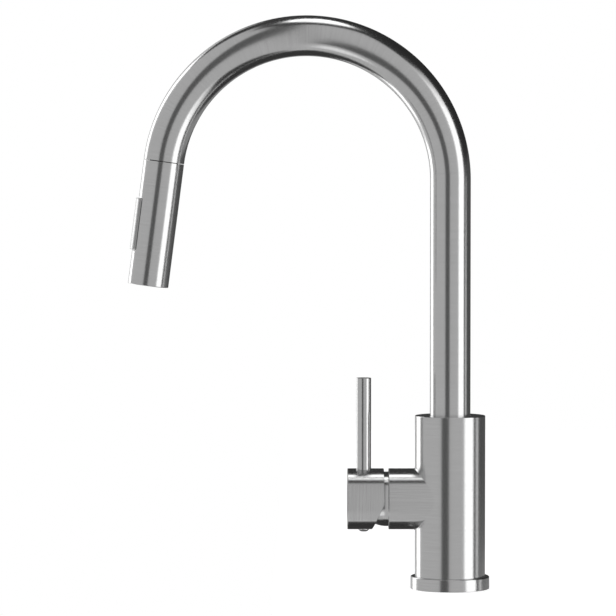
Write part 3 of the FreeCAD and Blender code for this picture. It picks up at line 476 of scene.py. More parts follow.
bm = bmesh.new()
angles, foot_ring, top_ring = column_wall(bm, BODY_R, BARREL_R, True, LEDGE_T, BODY_TOP - BODY_EDGE)
_, inner_foot, inner_top = column_wall(bm, BODY_BORE, CARTRIDGE_BORE, False, LEDGE_T, CAP_UNDER)
rings = [top_ring]
top_section = [(BODY_TOP - BODY_EDGE + BODY_EDGE * math.sin(a), BODY_R - BODY_EDGE + BODY_EDGE * math.cos(a))
               for a in EDGE_ANGLES]
top_section += [(BODY_TOP, SPOUT_HOLE + HOLE_EDGE), (BODY_TOP - HOLE_EDGE, SPOUT_HOLE),
                (CAP_UNDER, SPOUT_HOLE)]
for z, radius in top_section:
    ring = [Vector((-radius * math.cos(a), radius * math.sin(a), z)) for a in angles]
    rings.append([bm.verts.new(point * MM) for point in ring])
rings_between(bm, rings + [inner_top])
rings_between(bm, [foot_ring, inner_foot])
barrel_rings = []
turns = [2 * math.pi * k / ROUND_STEPS for k in range(ROUND_STEPS)]
for n in range(WELD_STEPS + 1):
    ring = []
    for t in turns:
        on_column, centre, on_barrel = weld_line(BODY_R, BARREL_R, True, t)
        fillet = (on_barrel - centre).length
        if fillet > WELD_LEAST / 2:
            spoke = (on_column - centre).slerp(on_barrel - centre, n / WELD_STEPS).normalized()
            centre += spoke * fillet
        ring.append(bm.verts.new((centre + Z * BARREL_Z) * MM))
    barrel_rings.append(ring)
weld_end = [weld_line(BODY_R, BARREL_R, True, t)[2].x for t in turns]
bore_start = [weld_line(BODY_BORE, CARTRIDGE_BORE, False, t)[2].x for t in turns]
edge = BARREL_END + BARREL_EDGE
barrel_section = [([w + (edge - w) * n for w in weld_end], BARREL_R) for n in WALL_ROWS[1:]]
for a in [math.pi / 2 * n / BARREL_EDGE_STEPS for n in range(1, BARREL_EDGE_STEPS + 1)]:
    barrel_section.append(([edge - BARREL_EDGE * math.sin(a)] * ROUND_STEPS,
                           BARREL_R - BARREL_EDGE + BARREL_EDGE * math.cos(a)))
for x, radius in ((BARREL_END, NUT_BORE + NUT_EDGE), (BARREL_END + NUT_EDGE, NUT_BORE),
                  (BORE_STEP, NUT_BORE), (BORE_STEP, CARTRIDGE_BORE)):
    barrel_section.append(([x] * ROUND_STEPS, radius))
barrel_section.append((bore_start, CARTRIDGE_BORE))
for places, radius in barrel_section:
    barrel_rings.append(barrel_ring(bm, [(x, radius) for x in places], turns))
rings_between(bm, barrel_rings)
bmesh.ops.remove_doubles(bm, verts=bm.verts, dist=NEAR_POINT)
finish_piece("body_welded", bm, column_steel, "body", "brushed_stainless", "body_shell")

# Dome cap
# A turned stainless half ball screwed over the cartridge nut. It closes the gap that opens between barrel
# and handle when the lever is lifted.
PIVOT = -47.6
DOME_R = 20.2
DOME_IN = 18.2
DOME_MOUTH = 58.0
DOME_SHOULDER = 45.65
DOME_FOOT = 43.95
DOME_FOOT_R = 19.85
DOME_SCREW_R = 16.9
DOME_SEAT = 45.6
DOME_UNDER = 46.6
DOME_STEPS = 10
barrel_steel = brushed_steel("brushed_stainless_handle", Z * BARREL_Z, turn=90)
section = [Vector(corner) for corner in (
    (DOME_SHOULDER, DOME_R), (DOME_FOOT, DOME_FOOT_R), (DOME_FOOT, DOME_SCREW_R), (DOME_SEAT, DOME_SCREW_R),
    (DOME_UNDER, DOME_IN))]
mouth = math.radians(DOME_MOUTH)
mouth_in = math.acos(DOME_R * math.cos(mouth) / DOME_IN)
for n in range(DOME_STEPS + 1):
    a = math.pi / 2 + (mouth_in - math.pi / 2) * n / DOME_STEPS
    section.append(Vector((-PIVOT + DOME_IN * math.cos(a), DOME_IN * math.sin(a))))
for n in range(DOME_STEPS + 1):
    a = mouth + (math.pi / 2 - mouth) * n / DOME_STEPS
    section.append(Vector((-PIVOT + DOME_R * math.cos(a), DOME_R * math.sin(a))))
finish_piece("dome_cap_turned", turned(section, Z * BARREL_Z, -X, Y), barrel_steel,
             "body", "brushed_stainless", "dome_cap")

# Handle hub
# A solid stainless drum of the barrel's width, hollowed to pass over the dome, with a slanted cut low on the
# barrel's side that lets it tip back. A boss inside takes the cartridge's square stem.
HUB_START = -49.1
HUB_END = -76.1
HUB_EDGE = 0.5
HUB_RIM = 0.25
HUB_HOLLOW = 20.5
NOTCH_Z = -2.7
NOTCH_ANGLE = 23.9
NOTCH_SLOPE = math.tan(math.radians(NOTCH_ANGLE))
BOSS_R = 8.0
BOSS_END = -58.0
STEM_HOLE = 5.7
STEM_DEPTH = -70.2
HUB_ROWS = 8
END_RINGS = (7, 14)
AXIS_POINT = 0.001
CORNER_INSET = 1.0
ROUND_COLUMNS = 108
CUT_COLUMNS = 84
HALVINGS = 40
# Two columns of the mesh run into the corners of the slanted cut, at the middle of the rim.
corner = math.acos(NOTCH_Z / (BARREL_R - CORNER_INSET))
turns = [-corner + 2 * corner * k / ROUND_COLUMNS for k in range(ROUND_COLUMNS)]
turns += [corner + (2 * math.pi - 2 * corner) * k / CUT_COLUMNS for k in range(CUT_COLUMNS)]


def hub_face(radius, turn):
    """Where the hub's barrel side ends, at a radius and an angle from the top."""
    drop = max(0.0, NOTCH_Z - radius * math.cos(turn))
    return HUB_START - drop * NOTCH_SLOPE


def hollow_rim(turn):
    """Radius at which the hub's hollow meets its barrel side."""
    low, high = BOSS_R, BARREL_R
    for _ in range(HALVINGS):
        mid = (low + high) / 2
        depth = PIVOT - math.sqrt(max(0.0, HUB_HOLLOW ** 2 - mid ** 2))
        low, high = (mid, high) if depth < hub_face(mid, turn) else (low, mid)
    return low


rows = [[(HUB_END, AXIS_POINT)] * len(turns)]
for radius in (*END_RINGS, BARREL_R - HUB_EDGE):
    rows.append([(HUB_END, radius)] * len(turns))
for a in EDGE_ANGLES:
    rows.append([(HUB_END + HUB_EDGE - HUB_EDGE * math.cos(a),
                  BARREL_R - HUB_EDGE + HUB_EDGE * math.sin(a))] * len(turns))
for n in range(1, HUB_ROWS + 1):
    start = HUB_END + HUB_EDGE
    rows.append([(start + (hub_face(BARREL_R, t) - HUB_RIM - start) * n / HUB_ROWS, BARREL_R) for t in turns])
rows.append([(hub_face(BARREL_R - HUB_RIM, t), BARREL_R - HUB_RIM) for t in turns])
rims = [hollow_rim(t) for t in turns]
for n in range(HUB_ROWS + 1):
    ring = []
    for rim in rims:
        radius = rim + (BOSS_R - rim) * n / HUB_ROWS
        ring.append((PIVOT - math.sqrt(HUB_HOLLOW ** 2 - radius ** 2), radius))
    rows.append(ring)
for spot in ((BOSS_END, BOSS_R), (BOSS_END, STEM_HOLE), (STEM_DEPTH, STEM_HOLE), (STEM_DEPTH, AXIS_POINT)):
    rows.append([spot] * len(turns))
bm = bmesh.new()
rings_between(bm, [barrel_ring(bm, row, turns) for row in rows])
bmesh.ops.remove_doubles(bm, verts=bm.verts, dist=NEAR_POINT)
finish_piece("handle_hub_turned", bm, barrel_steel, "handle", "brushed_stainless", "handle_hub")

# Lever rod
# A straight stainless bar with an eased top edge. A thread on its foot screws into the top of the hub, so no
# fixing shows.
ROD_X = -64.0
ROD_R = 5.5
ROD_SEAT = 86.45
ROD_TOP = 156.2
ROD_EDGE = 0.45
THREAD_R = 3.0
THREAD_LEN = 9.0
rod_steel = brushed_steel("brushed_stainless_rod", X * ROD_X)
section = rounded([
    (ROD_SEAT - THREAD_LEN, 0, 0), (ROD_SEAT - THREAD_LEN, THREAD_R, 0), (ROD_SEAT, THREAD_R, 0),
    (ROD_SEAT, ROD_R, 0), (ROD_TOP, ROD_R, ROD_EDGE), (ROD_TOP, 0, 0)])
finish_piece("lever_rod_turned", turned(section, X * ROD_X, Z, X), rod_steel,
             "handle", "brushed_stainless", "lever_rod")

# Screw cap
# A small crowned stainless plug pushed into the hub's underside. It covers the grub screw that clamps the hub
# on the cartridge's stem.
CAP_R = 4.0
CAP_LOW = 42.3
CAP_TOP = 44.65
CAP_CROWN = 1.2
CAP_EDGE = 0.5
CAP_FLAT_R = 2.6
PLUG_R = 2.9
PLUG_LEN = 3.5
section = rounded([
    (CAP_TOP + PLUG_LEN, 0, 0), (CAP_TOP + PLUG_LEN, PLUG_R, 0), (CAP_TOP, PLUG_R, 0), (CAP_TOP, CAP_R, 0),
    (CAP_LOW + CAP_CROWN, CAP_R, CAP_EDGE), (CAP_LOW, CAP_FLAT_R, CAP_CROWN), (CAP_LOW, 0, 0)])
finish_piece("screw_cap_turned", turned(section, X * ROD_X, Z, X), rod_steel,
             "handle", "brushed_stainless", "screw_cap")

# Spout tube
# A stainless tube bent to a round arch on a mandrel bender. It turns in the body, and its free end carries
# the dock for the spray head. It is brushed round the tube, so the hairlines follow its bend.
TUBE_R = 15.0
TUBE_WALL = 1.5
TUBE_FOOT = 89.82
ARCH_R = 106.2
ARCH_Z = 302.5
HEAD_TILT = 7.4
ARCH_STEPS = 180
LEG_STEPS = 40
TUBE_STEPS = 128
JOIN_WITHIN = 0.05
TUBE_LIP = 0.12
LIP_STEPS = 3
tube_steel = brushed_steel("brushed_stainless_bent_tube", Vector(), attribute="brush_place")
bend = bpy.data.node_groups.new("bent_tube", "GeometryNodeTree")
bend_sizes = (("Foot", TUBE_FOOT * MM), ("Arch start", ARCH_Z * MM), ("Arch radius", ARCH_R * MM),
              ("Sweep", math.radians(180 - HEAD_TILT)), ("Outer radius", TUBE_R * MM),
              ("Bore radius", (TUBE_R - TUBE_WALL) * MM))


def open_group(group, sizes):
    """Give a node group its named sizes and one mesh to put out."""
    for name, value in sizes:
        kind = "NodeSocketInt" if isinstance(value, int) else "NodeSocketFloat"
        group.interface.new_socket(name, in_out="INPUT", socket_type=kind)
    group.interface.new_socket("Geometry", in_out="OUTPUT", socket_type="NodeSocketGeometry")
    return add(group, "NodeGroupInput").outputs


size = open_group(bend, bend_sizes)
foot = add(bend, "ShaderNodeCombineXYZ", None, {"Z": size["Foot"]}).outputs[0]
shoulder = add(bend, "ShaderNodeCombineXYZ", None, {"Z": size["Arch start"]}).outputs[0]
leg = add(bend, "GeometryNodeCurvePrimitiveLine", None, {"Start": foot, "End": shoulder}).outputs[0]
leg = add(bend, "GeometryNodeResampleCurve", None, {"Curve": leg, "Count": LEG_STEPS}).outputs[0]
arch = add(bend, "GeometryNodeCurveArc", None,
           {"Resolution": ARCH_STEPS, "Radius": size["Arch radius"], "Sweep Angle": size["Sweep"]}).outputs[0]
inward = add(bend, "ShaderNodeMath", {"operation": "MULTIPLY"}, {0: size["Arch radius"], 1: -1.0}).outputs[0]
arch_centre = add(bend, "ShaderNodeCombineXYZ", None, {"X": inward, "Z": size["Arch start"]}).outputs[0]
arch = add(bend, "GeometryNodeTransform", None,
           {"Geometry": arch, "Translation": arch_centre, "Rotation": (math.pi / 2, 0, 0)}).outputs[0]
lines = add(bend, "GeometryNodeJoinGeometry")
for run in (arch, leg):
    line = add(bend, "GeometryNodeCurveToMesh", None, {"Curve": run}).outputs[0]
    bend.links.new(line, lines.inputs[0])
line = add(bend, "GeometryNodeMergeByDistance", None,
           {"Geometry": lines.outputs[0], "Distance": JOIN_WITHIN * MM}).outputs[0]
path = add(bend, "GeometryNodeMeshToCurve", None, {"Mesh": line}).outputs[0]
travelled = add(bend, "GeometryNodeSplineParameter").outputs["Length"]
path = add(bend, "GeometryNodeStoreNamedAttribute", {"data_type": "FLOAT", "domain": "POINT"},
           {"Geometry": path, "Name": "travelled", "Value": travelled}).outputs[0]
walls = add(bend, "GeometryNodeJoinGeometry")
for wall, inside in (("Bore radius", True), ("Outer radius", False)):
    ring = add(bend, "GeometryNodeCurvePrimitiveCircle", None,
               {"Resolution": TUBE_STEPS, "Radius": size[wall]}).outputs[0]
    skin = add(bend, "GeometryNodeCurveToMesh", None, {"Curve": path, "Profile Curve": ring}).outputs[0]
    if inside:
        skin = add(bend, "GeometryNodeFlipFaces", None, {"Mesh": skin}).outputs[0]
    bend.links.new(skin, walls.inputs[0])
along = add(bend, "GeometryNodeInputNamedAttribute", {"data_type": "FLOAT"}, {"Name": "travelled"}).outputs[0]
place = add(bend, "GeometryNodeInputPosition").outputs[0]
side = add(bend, "ShaderNodeSeparateXYZ", None, {"Vector": place})
brush_place = add(bend, "ShaderNodeCombineXYZ", None, {"Y": side.outputs["Y"], "Z": along}).outputs[0]
tube = add(bend, "GeometryNodeStoreNamedAttribute", {"data_type": "FLOAT_VECTOR", "domain": "POINT"},
           {"Geometry": walls.outputs[0], "Name": "brush_place", "Value": brush_place}).outputs[0]
tube = add(bend, "GeometryNodeRealizeInstances", None, {"Geometry": tube}).outputs[0]
tube = add(bend, "GeometryNodeSetMaterial", None, {"Geometry": tube, "Material": tube_steel}).outputs[0]
add(bend, "NodeGroupOutput", None, {"Geometry": tube})


def grown(name, group, sizes):
    """Plain mesh from a node group with its named sizes, open for editing."""
    seed = bpy.data.objects.new(name, bpy.data.meshes.new(name))
    bpy.context.scene.collection.objects.link(seed)
    grower = seed.modifiers.new(name, "NODES")
    grower.node_group = group
    sockets = {s.name: s.identifier for s in group.interface.items_tree if s.in_out == "INPUT"}
    for key, value in sizes:
        grower[sockets[key]] = value
    mesh = bpy.data.meshes.new_from_object(seed.evaluated_get(bpy.context.evaluated_depsgraph_get()))
    bpy.data.objects.remove(seed)
    bm = bmesh.new()
    bm.from_mesh(mesh)
    bpy.data.meshes.remove(mesh)
    return bm


bm = grown("spout_tube_bent", bend, bend_sizes)
open_edges = [e for e in bm.edges if e.is_boundary]
for at_foot in (True, False):
    rim = [e for e in open_edges if (e.verts[0].co.x > -ARCH_R * MM) == at_foot]
    bmesh.ops.bridge_loops(bm, edges=rim)
lips = [e for e in open_edges if e.is_valid]
bmesh.ops.bevel(bm, geom=lips, offset=TUBE_LIP * MM, segments=LIP_STEPS, profile=0.5, affect="EDGES")
finish_piece("spout_tube_bent", bm, tube_steel, "spout", "brushed_stainless", "spout_tube")

# Spray head shell
# A straight stainless sleeve in line with the spout, with a window for the button on its outer side and a
# rolled lower edge round the spray face.
tilt = math.radians(HEAD_TILT)
DOWN = Vector((-math.sin(tilt), 0, -math.cos(tilt)))
FRONT = Vector((-math.cos(tilt), 0, math.sin(tilt)))
JOINT = Vector((-ARCH_R, 0, ARCH_Z)) + FRONT * ARCH_R
HEAD_TURN = 180 + HEAD_TILT
HEAD_R = 15.0
HEAD_BORE = 13.7
HEAD_START = 0.55
HEAD_LEN = 92.4
HEAD_LIP = 0.12
HEAD_ROLL = 0.5
ROLL_IN = 0.15
ROLL_RISE = 0.1
WINDOW_LOW = 28.4
WINDOW_HIGH = 68.1
WINDOW_HALF = 9.3
WINDOW_ROUND = 1.8
WINDOW_STEPS = 24
WINDOW_FLAT_STEPS = 12
WALL_STEPS = 96
SLEEVE_ROWS = 6
ON_WINDOW_SIDE = 1e-6
head_steel = brushed_steel("brushed_stainless_spray_head", JOINT, turn=HEAD_TURN)


def at_head(front, side, down):
    """Place in metres from distances in the head's own directions, from its joint with the spout."""
    return (JOINT + FRONT * front + Y * side + DOWN * down) * MM


def window_ends(side):
    """How far the window is rounded in at its ends, at a distance to the side."""
    over = max(0.0, abs(side) - (WINDOW_HALF - WINDOW_ROUND))
    return WINDOW_ROUND - math.sqrt(max(0.0, WINDOW_ROUND ** 2 - over ** 2))


def window_sides():
    """Distances to the side at which columns cross the window, close together in its corners."""
    flat = WINDOW_HALF - WINDOW_ROUND
    sides = [flat * k / WINDOW_FLAT_STEPS for k in range(WINDOW_FLAT_STEPS)]
    corner = [math.pi / 2 * k / WINDOW_STEPS for k in range(WINDOW_STEPS + 1)]
    sides += [flat + WINDOW_ROUND * math.sin(a) for a in corner]
    return [-s for s in sides[:0:-1]] + sides


def head_wall(bm, radius, start, end):
    """Sleeve wall with its window left open, as columns of three parts: above, beside and below it.

    Returns the columns' angles, the top ring, the end ring and the window's rim."""
    sides = window_sides()
    columns = []
    for side in sides:
        beside = abs(abs(side) - WINDOW_HALF) < ON_WINDOW_SIDE
        columns.append((math.asin(side / radius), window_ends(side), beside))
    last = columns[-1][0]
    for k in range(1, WALL_STEPS):
        columns.append((last + (2 * math.pi - 2 * last) * k / WALL_STEPS, WINDOW_ROUND, True))
    wall = []
    for angle, inset, beside in columns:
        front = radius * math.cos(angle)
        side = radius * math.sin(angle)
        window_top = WINDOW_LOW + inset
        window_foot = WINDOW_HIGH - inset
        shares = [n / SLEEVE_ROWS for n in range(SLEEVE_ROWS + 1)]
        upper = [start + (window_top - start) * n for n in shares]
        lower = [window_foot + (end - window_foot) * n for n in shares]
        middle = [window_top + (window_foot - window_top) * n for n in shares[1:-1]] if beside else []
        parts = (upper, middle, lower)
        wall.append([[bm.verts.new(at_head(front, side, s)) for s in part] for part in parts])
    for k in range(len(wall)):
        here, following = wall[k - 1], wall[k]
        spans = [(here[0], following[0]), (here[2], following[2])]
        if here[1] and following[1]:
            spans.append([c[0][-1:] + c[1] + c[2][:1] for c in (here, following)])
        for part, next_part in spans:
            for a, b, c, d in zip(part, next_part, next_part[1:], part[1:]):
                bm.faces.new((a, b, c, d))
    count = len(sides)
    first, final = wall[0], wall[count - 1]
    rim = [wall[k][0][-1] for k in range(count)]
    rim += final[1] + [wall[k][2][0] for k in range(count - 1, -1, -1)] + first[1][::-1]
    return [c[0] for c in columns], [w[0][0] for w in wall], [w[2][-1] for w in wall], rim


def head_ring(bm, radius, down, turns):
    """Ring of vertices round the head's axis."""
    return [bm.verts.new(at_head(radius * math.cos(t), radius * math.sin(t), down)) for t in turns]


bm = bmesh.new()
roll_start = HEAD_LEN - HEAD_ROLL
turns, outer_top, outer_end, outer_rim = head_wall(bm, HEAD_R, HEAD_START + HEAD_LIP, roll_start)
_, inner_top, inner_end, inner_rim = head_wall(bm, HEAD_BORE, HEAD_START, roll_start)
rings_between(bm, [outer_rim, inner_rim])
rings_between(bm, [outer_top, head_ring(bm, HEAD_R - HEAD_LIP, HEAD_START, turns), inner_top])
roll = [outer_end]
for a in EDGE_ANGLES:
    radius = HEAD_R - HEAD_ROLL + HEAD_ROLL * math.cos(a)
    roll.append(head_ring(bm, radius, roll_start + HEAD_ROLL * math.sin(a), turns))
roll.append(head_ring(bm, HEAD_BORE + ROLL_IN, HEAD_LEN - ROLL_RISE, turns))
rings_between(bm, roll + [inner_end])
finish_piece("head_shell_drawn", bm, head_steel, "spray_head", "brushed_stainless", "head_shell")

# Spray button
# A satin metal rocker pad that follows the round of the head and stands a little proud of it. It rocks on a
# cross pin to change between stream and spray.
BUTTON_LOW = 29.1
BUTTON_LEN = 38.3
BUTTON_HALF = 9.0
BUTTON_CORNER = 1.5
BUTTON_R = 16.9
BUTTON_BACK = 12.2
BUTTON_EDGE = 0.7
BUTTON_LOOP = 24
BUTTON_CORNER_STEPS = 8
BUTTON_EDGE_STEPS = 6
BUTTON_ROWS = 12
FLAT_FACE = 0.001 * MM
# Satin stainless steel: glass-blasted before it is brushed, so the pad mirrors softly and reads as one even
# grey beside the brighter sleeve.
SATIN = 0.2
button_steel = brushed_steel("satin_stainless_button", JOINT, turn=HEAD_TURN, duller=SATIN)
middle = BUTTON_LOW + BUTTON_LEN / 2
spine = BUTTON_LEN / 2 - BUTTON_HALF
wide = BUTTON_HALF - BUTTON_CORNER
tall = BUTTON_LEN / 2 - BUTTON_CORNER
corners = [Vector((a * wide, b * tall)) for a, b in ((1, 1), (-1, 1), (-1, -1), (1, -1))]
outline = []
for n, (corner, next_corner) in enumerate(zip(corners, corners[1:] + corners[:1])):
    for k in range(BUTTON_CORNER_STEPS + 1):
        t = math.pi / 2 * (n + k / BUTTON_CORNER_STEPS)
        spoke = Vector((math.cos(t), math.sin(t))) * BUTTON_CORNER
        outline.append(corner + spoke)
    side = [corner.lerp(next_corner, k / BUTTON_LOOP) for k in range(1, BUTTON_LOOP)]
    outline += [point + spoke for point in side]
edge_angles = [math.pi / 2 * n / BUTTON_EDGE_STEPS for n in range(BUTTON_EDGE_STEPS + 1)]
insets = [BUTTON_EDGE * (1 - math.cos(a)) for a in edge_angles]
insets += [BUTTON_EDGE + (BUTTON_HALF - BUTTON_EDGE) * n / BUTTON_ROWS for n in range(1, BUTTON_ROWS + 1)]


def button_loop(inset, back=None):
    """Ring of the button's outline set in by a distance, on its round front or on a flat back."""
    ring = []
    for point in outline:
        target = Vector((0, max(-spine, min(spine, point.y))))
        spot = target.lerp(point, 1 - inset / BUTTON_HALF)
        round_off = max(0.0, BUTTON_EDGE - inset)
        front = math.sqrt(BUTTON_R ** 2 - spot.x ** 2)
        front -= BUTTON_EDGE - math.sqrt(BUTTON_EDGE ** 2 - round_off ** 2)
        ring.append(bm.verts.new(at_head(front if back is None else back, spot.x, middle + spot.y)))
    return ring


bm = bmesh.new()
rings = [button_loop(inset, BUTTON_BACK) for inset in (BUTTON_HALF, BUTTON_HALF / 2, 0)]
rings += [button_loop(inset) for inset in insets]
rings_between(bm, rings)
bmesh.ops.remove_doubles(bm, verts=bm.verts, dist=NEAR_POINT)
bmesh.ops.dissolve_degenerate(bm, edges=bm.edges, dist=FLAT_FACE)
finish_piece("button_pad", bm, button_steel, "spray_button", "brushed_stainless", "toggle_button")

# Nozzle mat
# A moulded silicone mat behind the face plate. Its two rings of nozzles stand through the plate, soft enough
# to rub lime off with a finger. Each nozzle has a rounded rim round its jet.
NOZZLE_R = 0.78
JET_R = 0.35
NOZZLE_BASE = 88.3
NOZZLE_TIP = 91.9
NOZZLE_EDGE = 0.16
NOZZLE_STEPS = 18
RIM_STEPS = 3
INNER_RING = 8.9
INNER_COUNT = 14
OUTER_RING = 11.4
OUTER_COUNT = 20
MAT_IN = 7.4
MAT_OUT = 13.6
MAT_START = 86.65
MAT_END = 88.5
MAT_STEPS = 96
GRAIN_DETAIL = 2.0
GRAIN_RELIEF = 0.3
GLOSS_SPREAD = 0.06


def moulded(name, colour, other_colour, grain, rough, metal=0.0, relief_depth=0.01):
    """Surface with a fine grain of a size in millimetres and two near colours."""
    material = bpy.data.materials.new(name)
    tree = blank_tree(material)
    place = add(tree, "ShaderNodeTexCoord").outputs["Object"]
    grains = add(tree, "ShaderNodeTexNoise", None,
                 {"Vector": place, "Scale": 1 / (grain * MM), "Detail": GRAIN_DETAIL}).outputs["Fac"]
    tint = add(tree, "ShaderNodeMix", {"data_type": "RGBA"},
               {MIX_FACTOR: grains, MIX_FIRST: linear(colour), MIX_SECOND: linear(other_colour)})
    gloss = add(tree, "ShaderNodeMapRange", None,
                {"Value": grains, "To Min": rough - GLOSS_SPREAD, "To Max": rough + GLOSS_SPREAD}).outputs[0]
    relief = add(tree, "ShaderNodeBump", None,
                 {"Height": grains, "Strength": GRAIN_RELIEF, "Distance": relief_depth * MM}).outputs[0]
    shade = add(tree, "ShaderNodeBsdfPrincipled", None,
                {"Base Color": tint.outputs[MIX_RESULT], "Metallic": metal, "Roughness": gloss,
                 "Normal": relief})
    add(tree, "ShaderNodeOutputMaterial", None, {"Surface": shade.outputs[0]})
    return material


# Silicone rubber: mid grey, dull and slightly skin-like, with no sharp highlight.
silicone = moulded("silicone_rubber", "#67676A", "#606063", 0.4, 0.55)
spray = bpy.data.node_groups.new("nozzle_rings", "GeometryNodeTree")
spray_sizes = (("Nozzle radius", NOZZLE_R * MM), ("Jet radius", JET_R * MM), ("Rim", NOZZLE_EDGE * MM),
               ("Nozzle length", (NOZZLE_TIP - NOZZLE_BASE) * MM),
               ("Nozzle height", (NOZZLE_TIP + NOZZLE_BASE) / 2 * MM),
               ("Inner ring", INNER_RING * MM), ("Inner count", INNER_COUNT),
               ("Outer ring", OUTER_RING * MM), ("Outer count", OUTER_COUNT),
               ("Mat bore", MAT_IN * MM), ("Mat radius", MAT_OUT * MM),
               ("Mat thickness", (MAT_END - MAT_START) * MM), ("Mat height", (MAT_END + MAT_START) / 2 * MM))
size = open_group(spray, spray_sizes)


def swept_ring(bore, radius, thickness, edge, steps):
    """Ring with a rounded square section, between two radii."""
    total = add(spray, "ShaderNodeMath", {"operation": "ADD"}, {0: bore, 1: radius}).outputs[0]
    mean = add(spray, "ShaderNodeMath", {"operation": "MULTIPLY"}, {0: total, 1: 0.5}).outputs[0]
    wall = add(spray, "ShaderNodeMath", {"operation": "SUBTRACT"}, {0: radius, 1: bore}).outputs[0]
    path = add(spray, "GeometryNodeCurvePrimitiveCircle", None,
               {"Resolution": steps, "Radius": mean}).outputs[0]
    section = add(spray, "GeometryNodeCurvePrimitiveQuadrilateral", None,
                  {"Width": wall, "Height": thickness}).outputs[0]
    section = add(spray, "GeometryNodeFilletCurve", {"mode": "POLY"},
                  {"Curve": section, "Radius": edge, "Count": RIM_STEPS}).outputs[0]
    return add(spray, "GeometryNodeCurveToMesh", None, {"Curve": path, "Profile Curve": section}).outputs[0]


nozzle = swept_ring(size["Jet radius"], size["Nozzle radius"], size["Nozzle length"], size["Rim"],
                    NOZZLE_STEPS)
lift = add(spray, "ShaderNodeCombineXYZ", None, {"Z": size["Nozzle height"]}).outputs[0]
nozzle = add(spray, "GeometryNodeTransform", None, {"Geometry": nozzle, "Translation": lift}).outputs[0]
mat = swept_ring(size["Mat bore"], size["Mat radius"], size["Mat thickness"], size["Rim"], MAT_STEPS)
lift = add(spray, "ShaderNodeCombineXYZ", None, {"Z": size["Mat height"]}).outputs[0]
mat = add(spray, "GeometryNodeTransform", None, {"Geometry": mat, "Translation": lift}).outputs[0]
whole = add(spray, "GeometryNodeJoinGeometry")
spray.links.new(mat, whole.inputs[0])
for radius, count, half_step in (("Inner ring", "Inner count", 0.0), ("Outer ring", "Outer count", 0.5)):
    circle = add(spray, "GeometryNodeMeshCircle", None,
                 {"Vertices": size[count], "Radius": size[radius]}).outputs[0]
    step = add(spray, "ShaderNodeMath", {"operation": "DIVIDE"},
               {0: 2 * math.pi * half_step, 1: size[count]}).outputs[0]
    turn = add(spray, "ShaderNodeCombineXYZ", None, {"Z": step}).outputs[0]
    circle = add(spray, "GeometryNodeTransform", None, {"Geometry": circle, "Rotation": turn}).outputs[0]
    ring = add(spray, "GeometryNodeInstanceOnPoints", None, {"Points": circle, "Instance": nozzle}).outputs[0]
    spray.links.new(ring, whole.inputs[0])
placed = add(spray, "GeometryNodeTransform", None,
             {"Geometry": whole.outputs[0], "Translation": JOINT * MM,
              "Rotation": (0, math.radians(HEAD_TURN), 0)}).outputs[0]
placed = add(spray, "GeometryNodeRealizeInstances", None, {"Geometry": placed}).outputs[0]
placed = add(spray, "GeometryNodeSetMaterial", None, {"Geometry": placed, "Material": silicone}).outputs[0]
add(spray, "NodeGroupOutput", None, {"Geometry": placed})
bm = grown("nozzle_mat_moulded", spray, spray_sizes)
finish_piece("nozzle_mat_moulded", bm, silicone, "spray_head", "nozzle_silicone", "nozzle_mat")

# Pull-out hose
# A soft hose in a woven nylon sleeve, crimped into a ferrule above the spray head. It lies in the spout and
# follows the head out when the head is pulled. Here it is a short straight length just above the head, on no
# moving body.
HOSE_R = 5.5
HOSE_BORE = 3.9
HOSE_START = -24.0
HOSE_END = -12.0
HOSE_ROWS = 64
HOSE_STEPS = 64
BRAID_STRANDS = 12
BRAID_PITCH = 18.0
BRAID_DEPTH = 0.25
BRAID_RELIEF = 0.6
BRAID_ROUGH = 0.6
BRAID_PAINTED_SHADE = "#2C2C2E"
BRAID_STRAND = "#85858A"
# Woven nylon: dull grey strands that cross in small diamonds. The strands are painted darker down their sides
# and near black in the gaps between them, as painted shade where the weave lies deep.
braid = bpy.data.materials.new("woven_nylon_braid")
tree = blank_tree(braid)
place = add(tree, "ShaderNodeTexCoord").outputs["Object"]
centred = add(tree, "ShaderNodeVectorMath", {"operation": "SUBTRACT"}, {0: place, 1: JOINT * MM}).outputs[0]
straight = add(tree, "ShaderNodeVectorRotate", {"rotation_type": "Y_AXIS"},
               {"Vector": centred, "Angle": -math.radians(HEAD_TURN)}).outputs[0]
part = add(tree, "ShaderNodeSeparateXYZ", None, {"Vector": straight}).outputs
angle = add(tree, "ShaderNodeMath", {"operation": "ARCTAN2"}, {0: part["Y"], 1: part["X"]}).outputs[0]
around = add(tree, "ShaderNodeMath", {"operation": "MULTIPLY"}, {0: angle, 1: BRAID_STRANDS}).outputs[0]
along = add(tree, "ShaderNodeMath", {"operation": "MULTIPLY"},
            {0: part["Z"], 1: 2 * math.pi * BRAID_STRANDS / (BRAID_PITCH * MM)}).outputs[0]
strands = []
for way in ("ADD", "SUBTRACT"):
    phase = add(tree, "ShaderNodeMath", {"operation": way}, {0: around, 1: along}).outputs[0]
    strands.append(add(tree, "ShaderNodeMath", {"operation": "COSINE"}, {0: phase}).outputs[0])
weave = add(tree, "ShaderNodeMath", {"operation": "MAXIMUM"}, {0: strands[0], 1: strands[1]}).outputs[0]
height = add(tree, "ShaderNodeMapRange", None, {"Value": weave, "From Min": -1.0, "From Max": 1.0}).outputs[0]
# The colour follows the weave's depth: painted shade darkens the strands' sides and fills the gaps between
# them.
tint = add(tree, "ShaderNodeMix", {"data_type": "RGBA"},
           {MIX_FACTOR: height, MIX_FIRST: linear(BRAID_PAINTED_SHADE), MIX_SECOND: linear(BRAID_STRAND)})
relief = add(tree, "ShaderNodeBump", None,
             {"Height": height, "Strength": BRAID_RELIEF, "Distance": BRAID_DEPTH * MM}).outputs[0]
shade = add(tree, "ShaderNodeBsdfPrincipled", None,
            {"Base Color": tint.outputs[MIX_RESULT], "Roughness": BRAID_ROUGH, "Normal": relief})
add(tree, "ShaderNodeOutputMaterial", None, {"Surface": shade.outputs[0]})
bm = bmesh.new()
turns = [2 * math.pi * k / HOSE_STEPS for k in range(HOSE_STEPS)]
rings = []
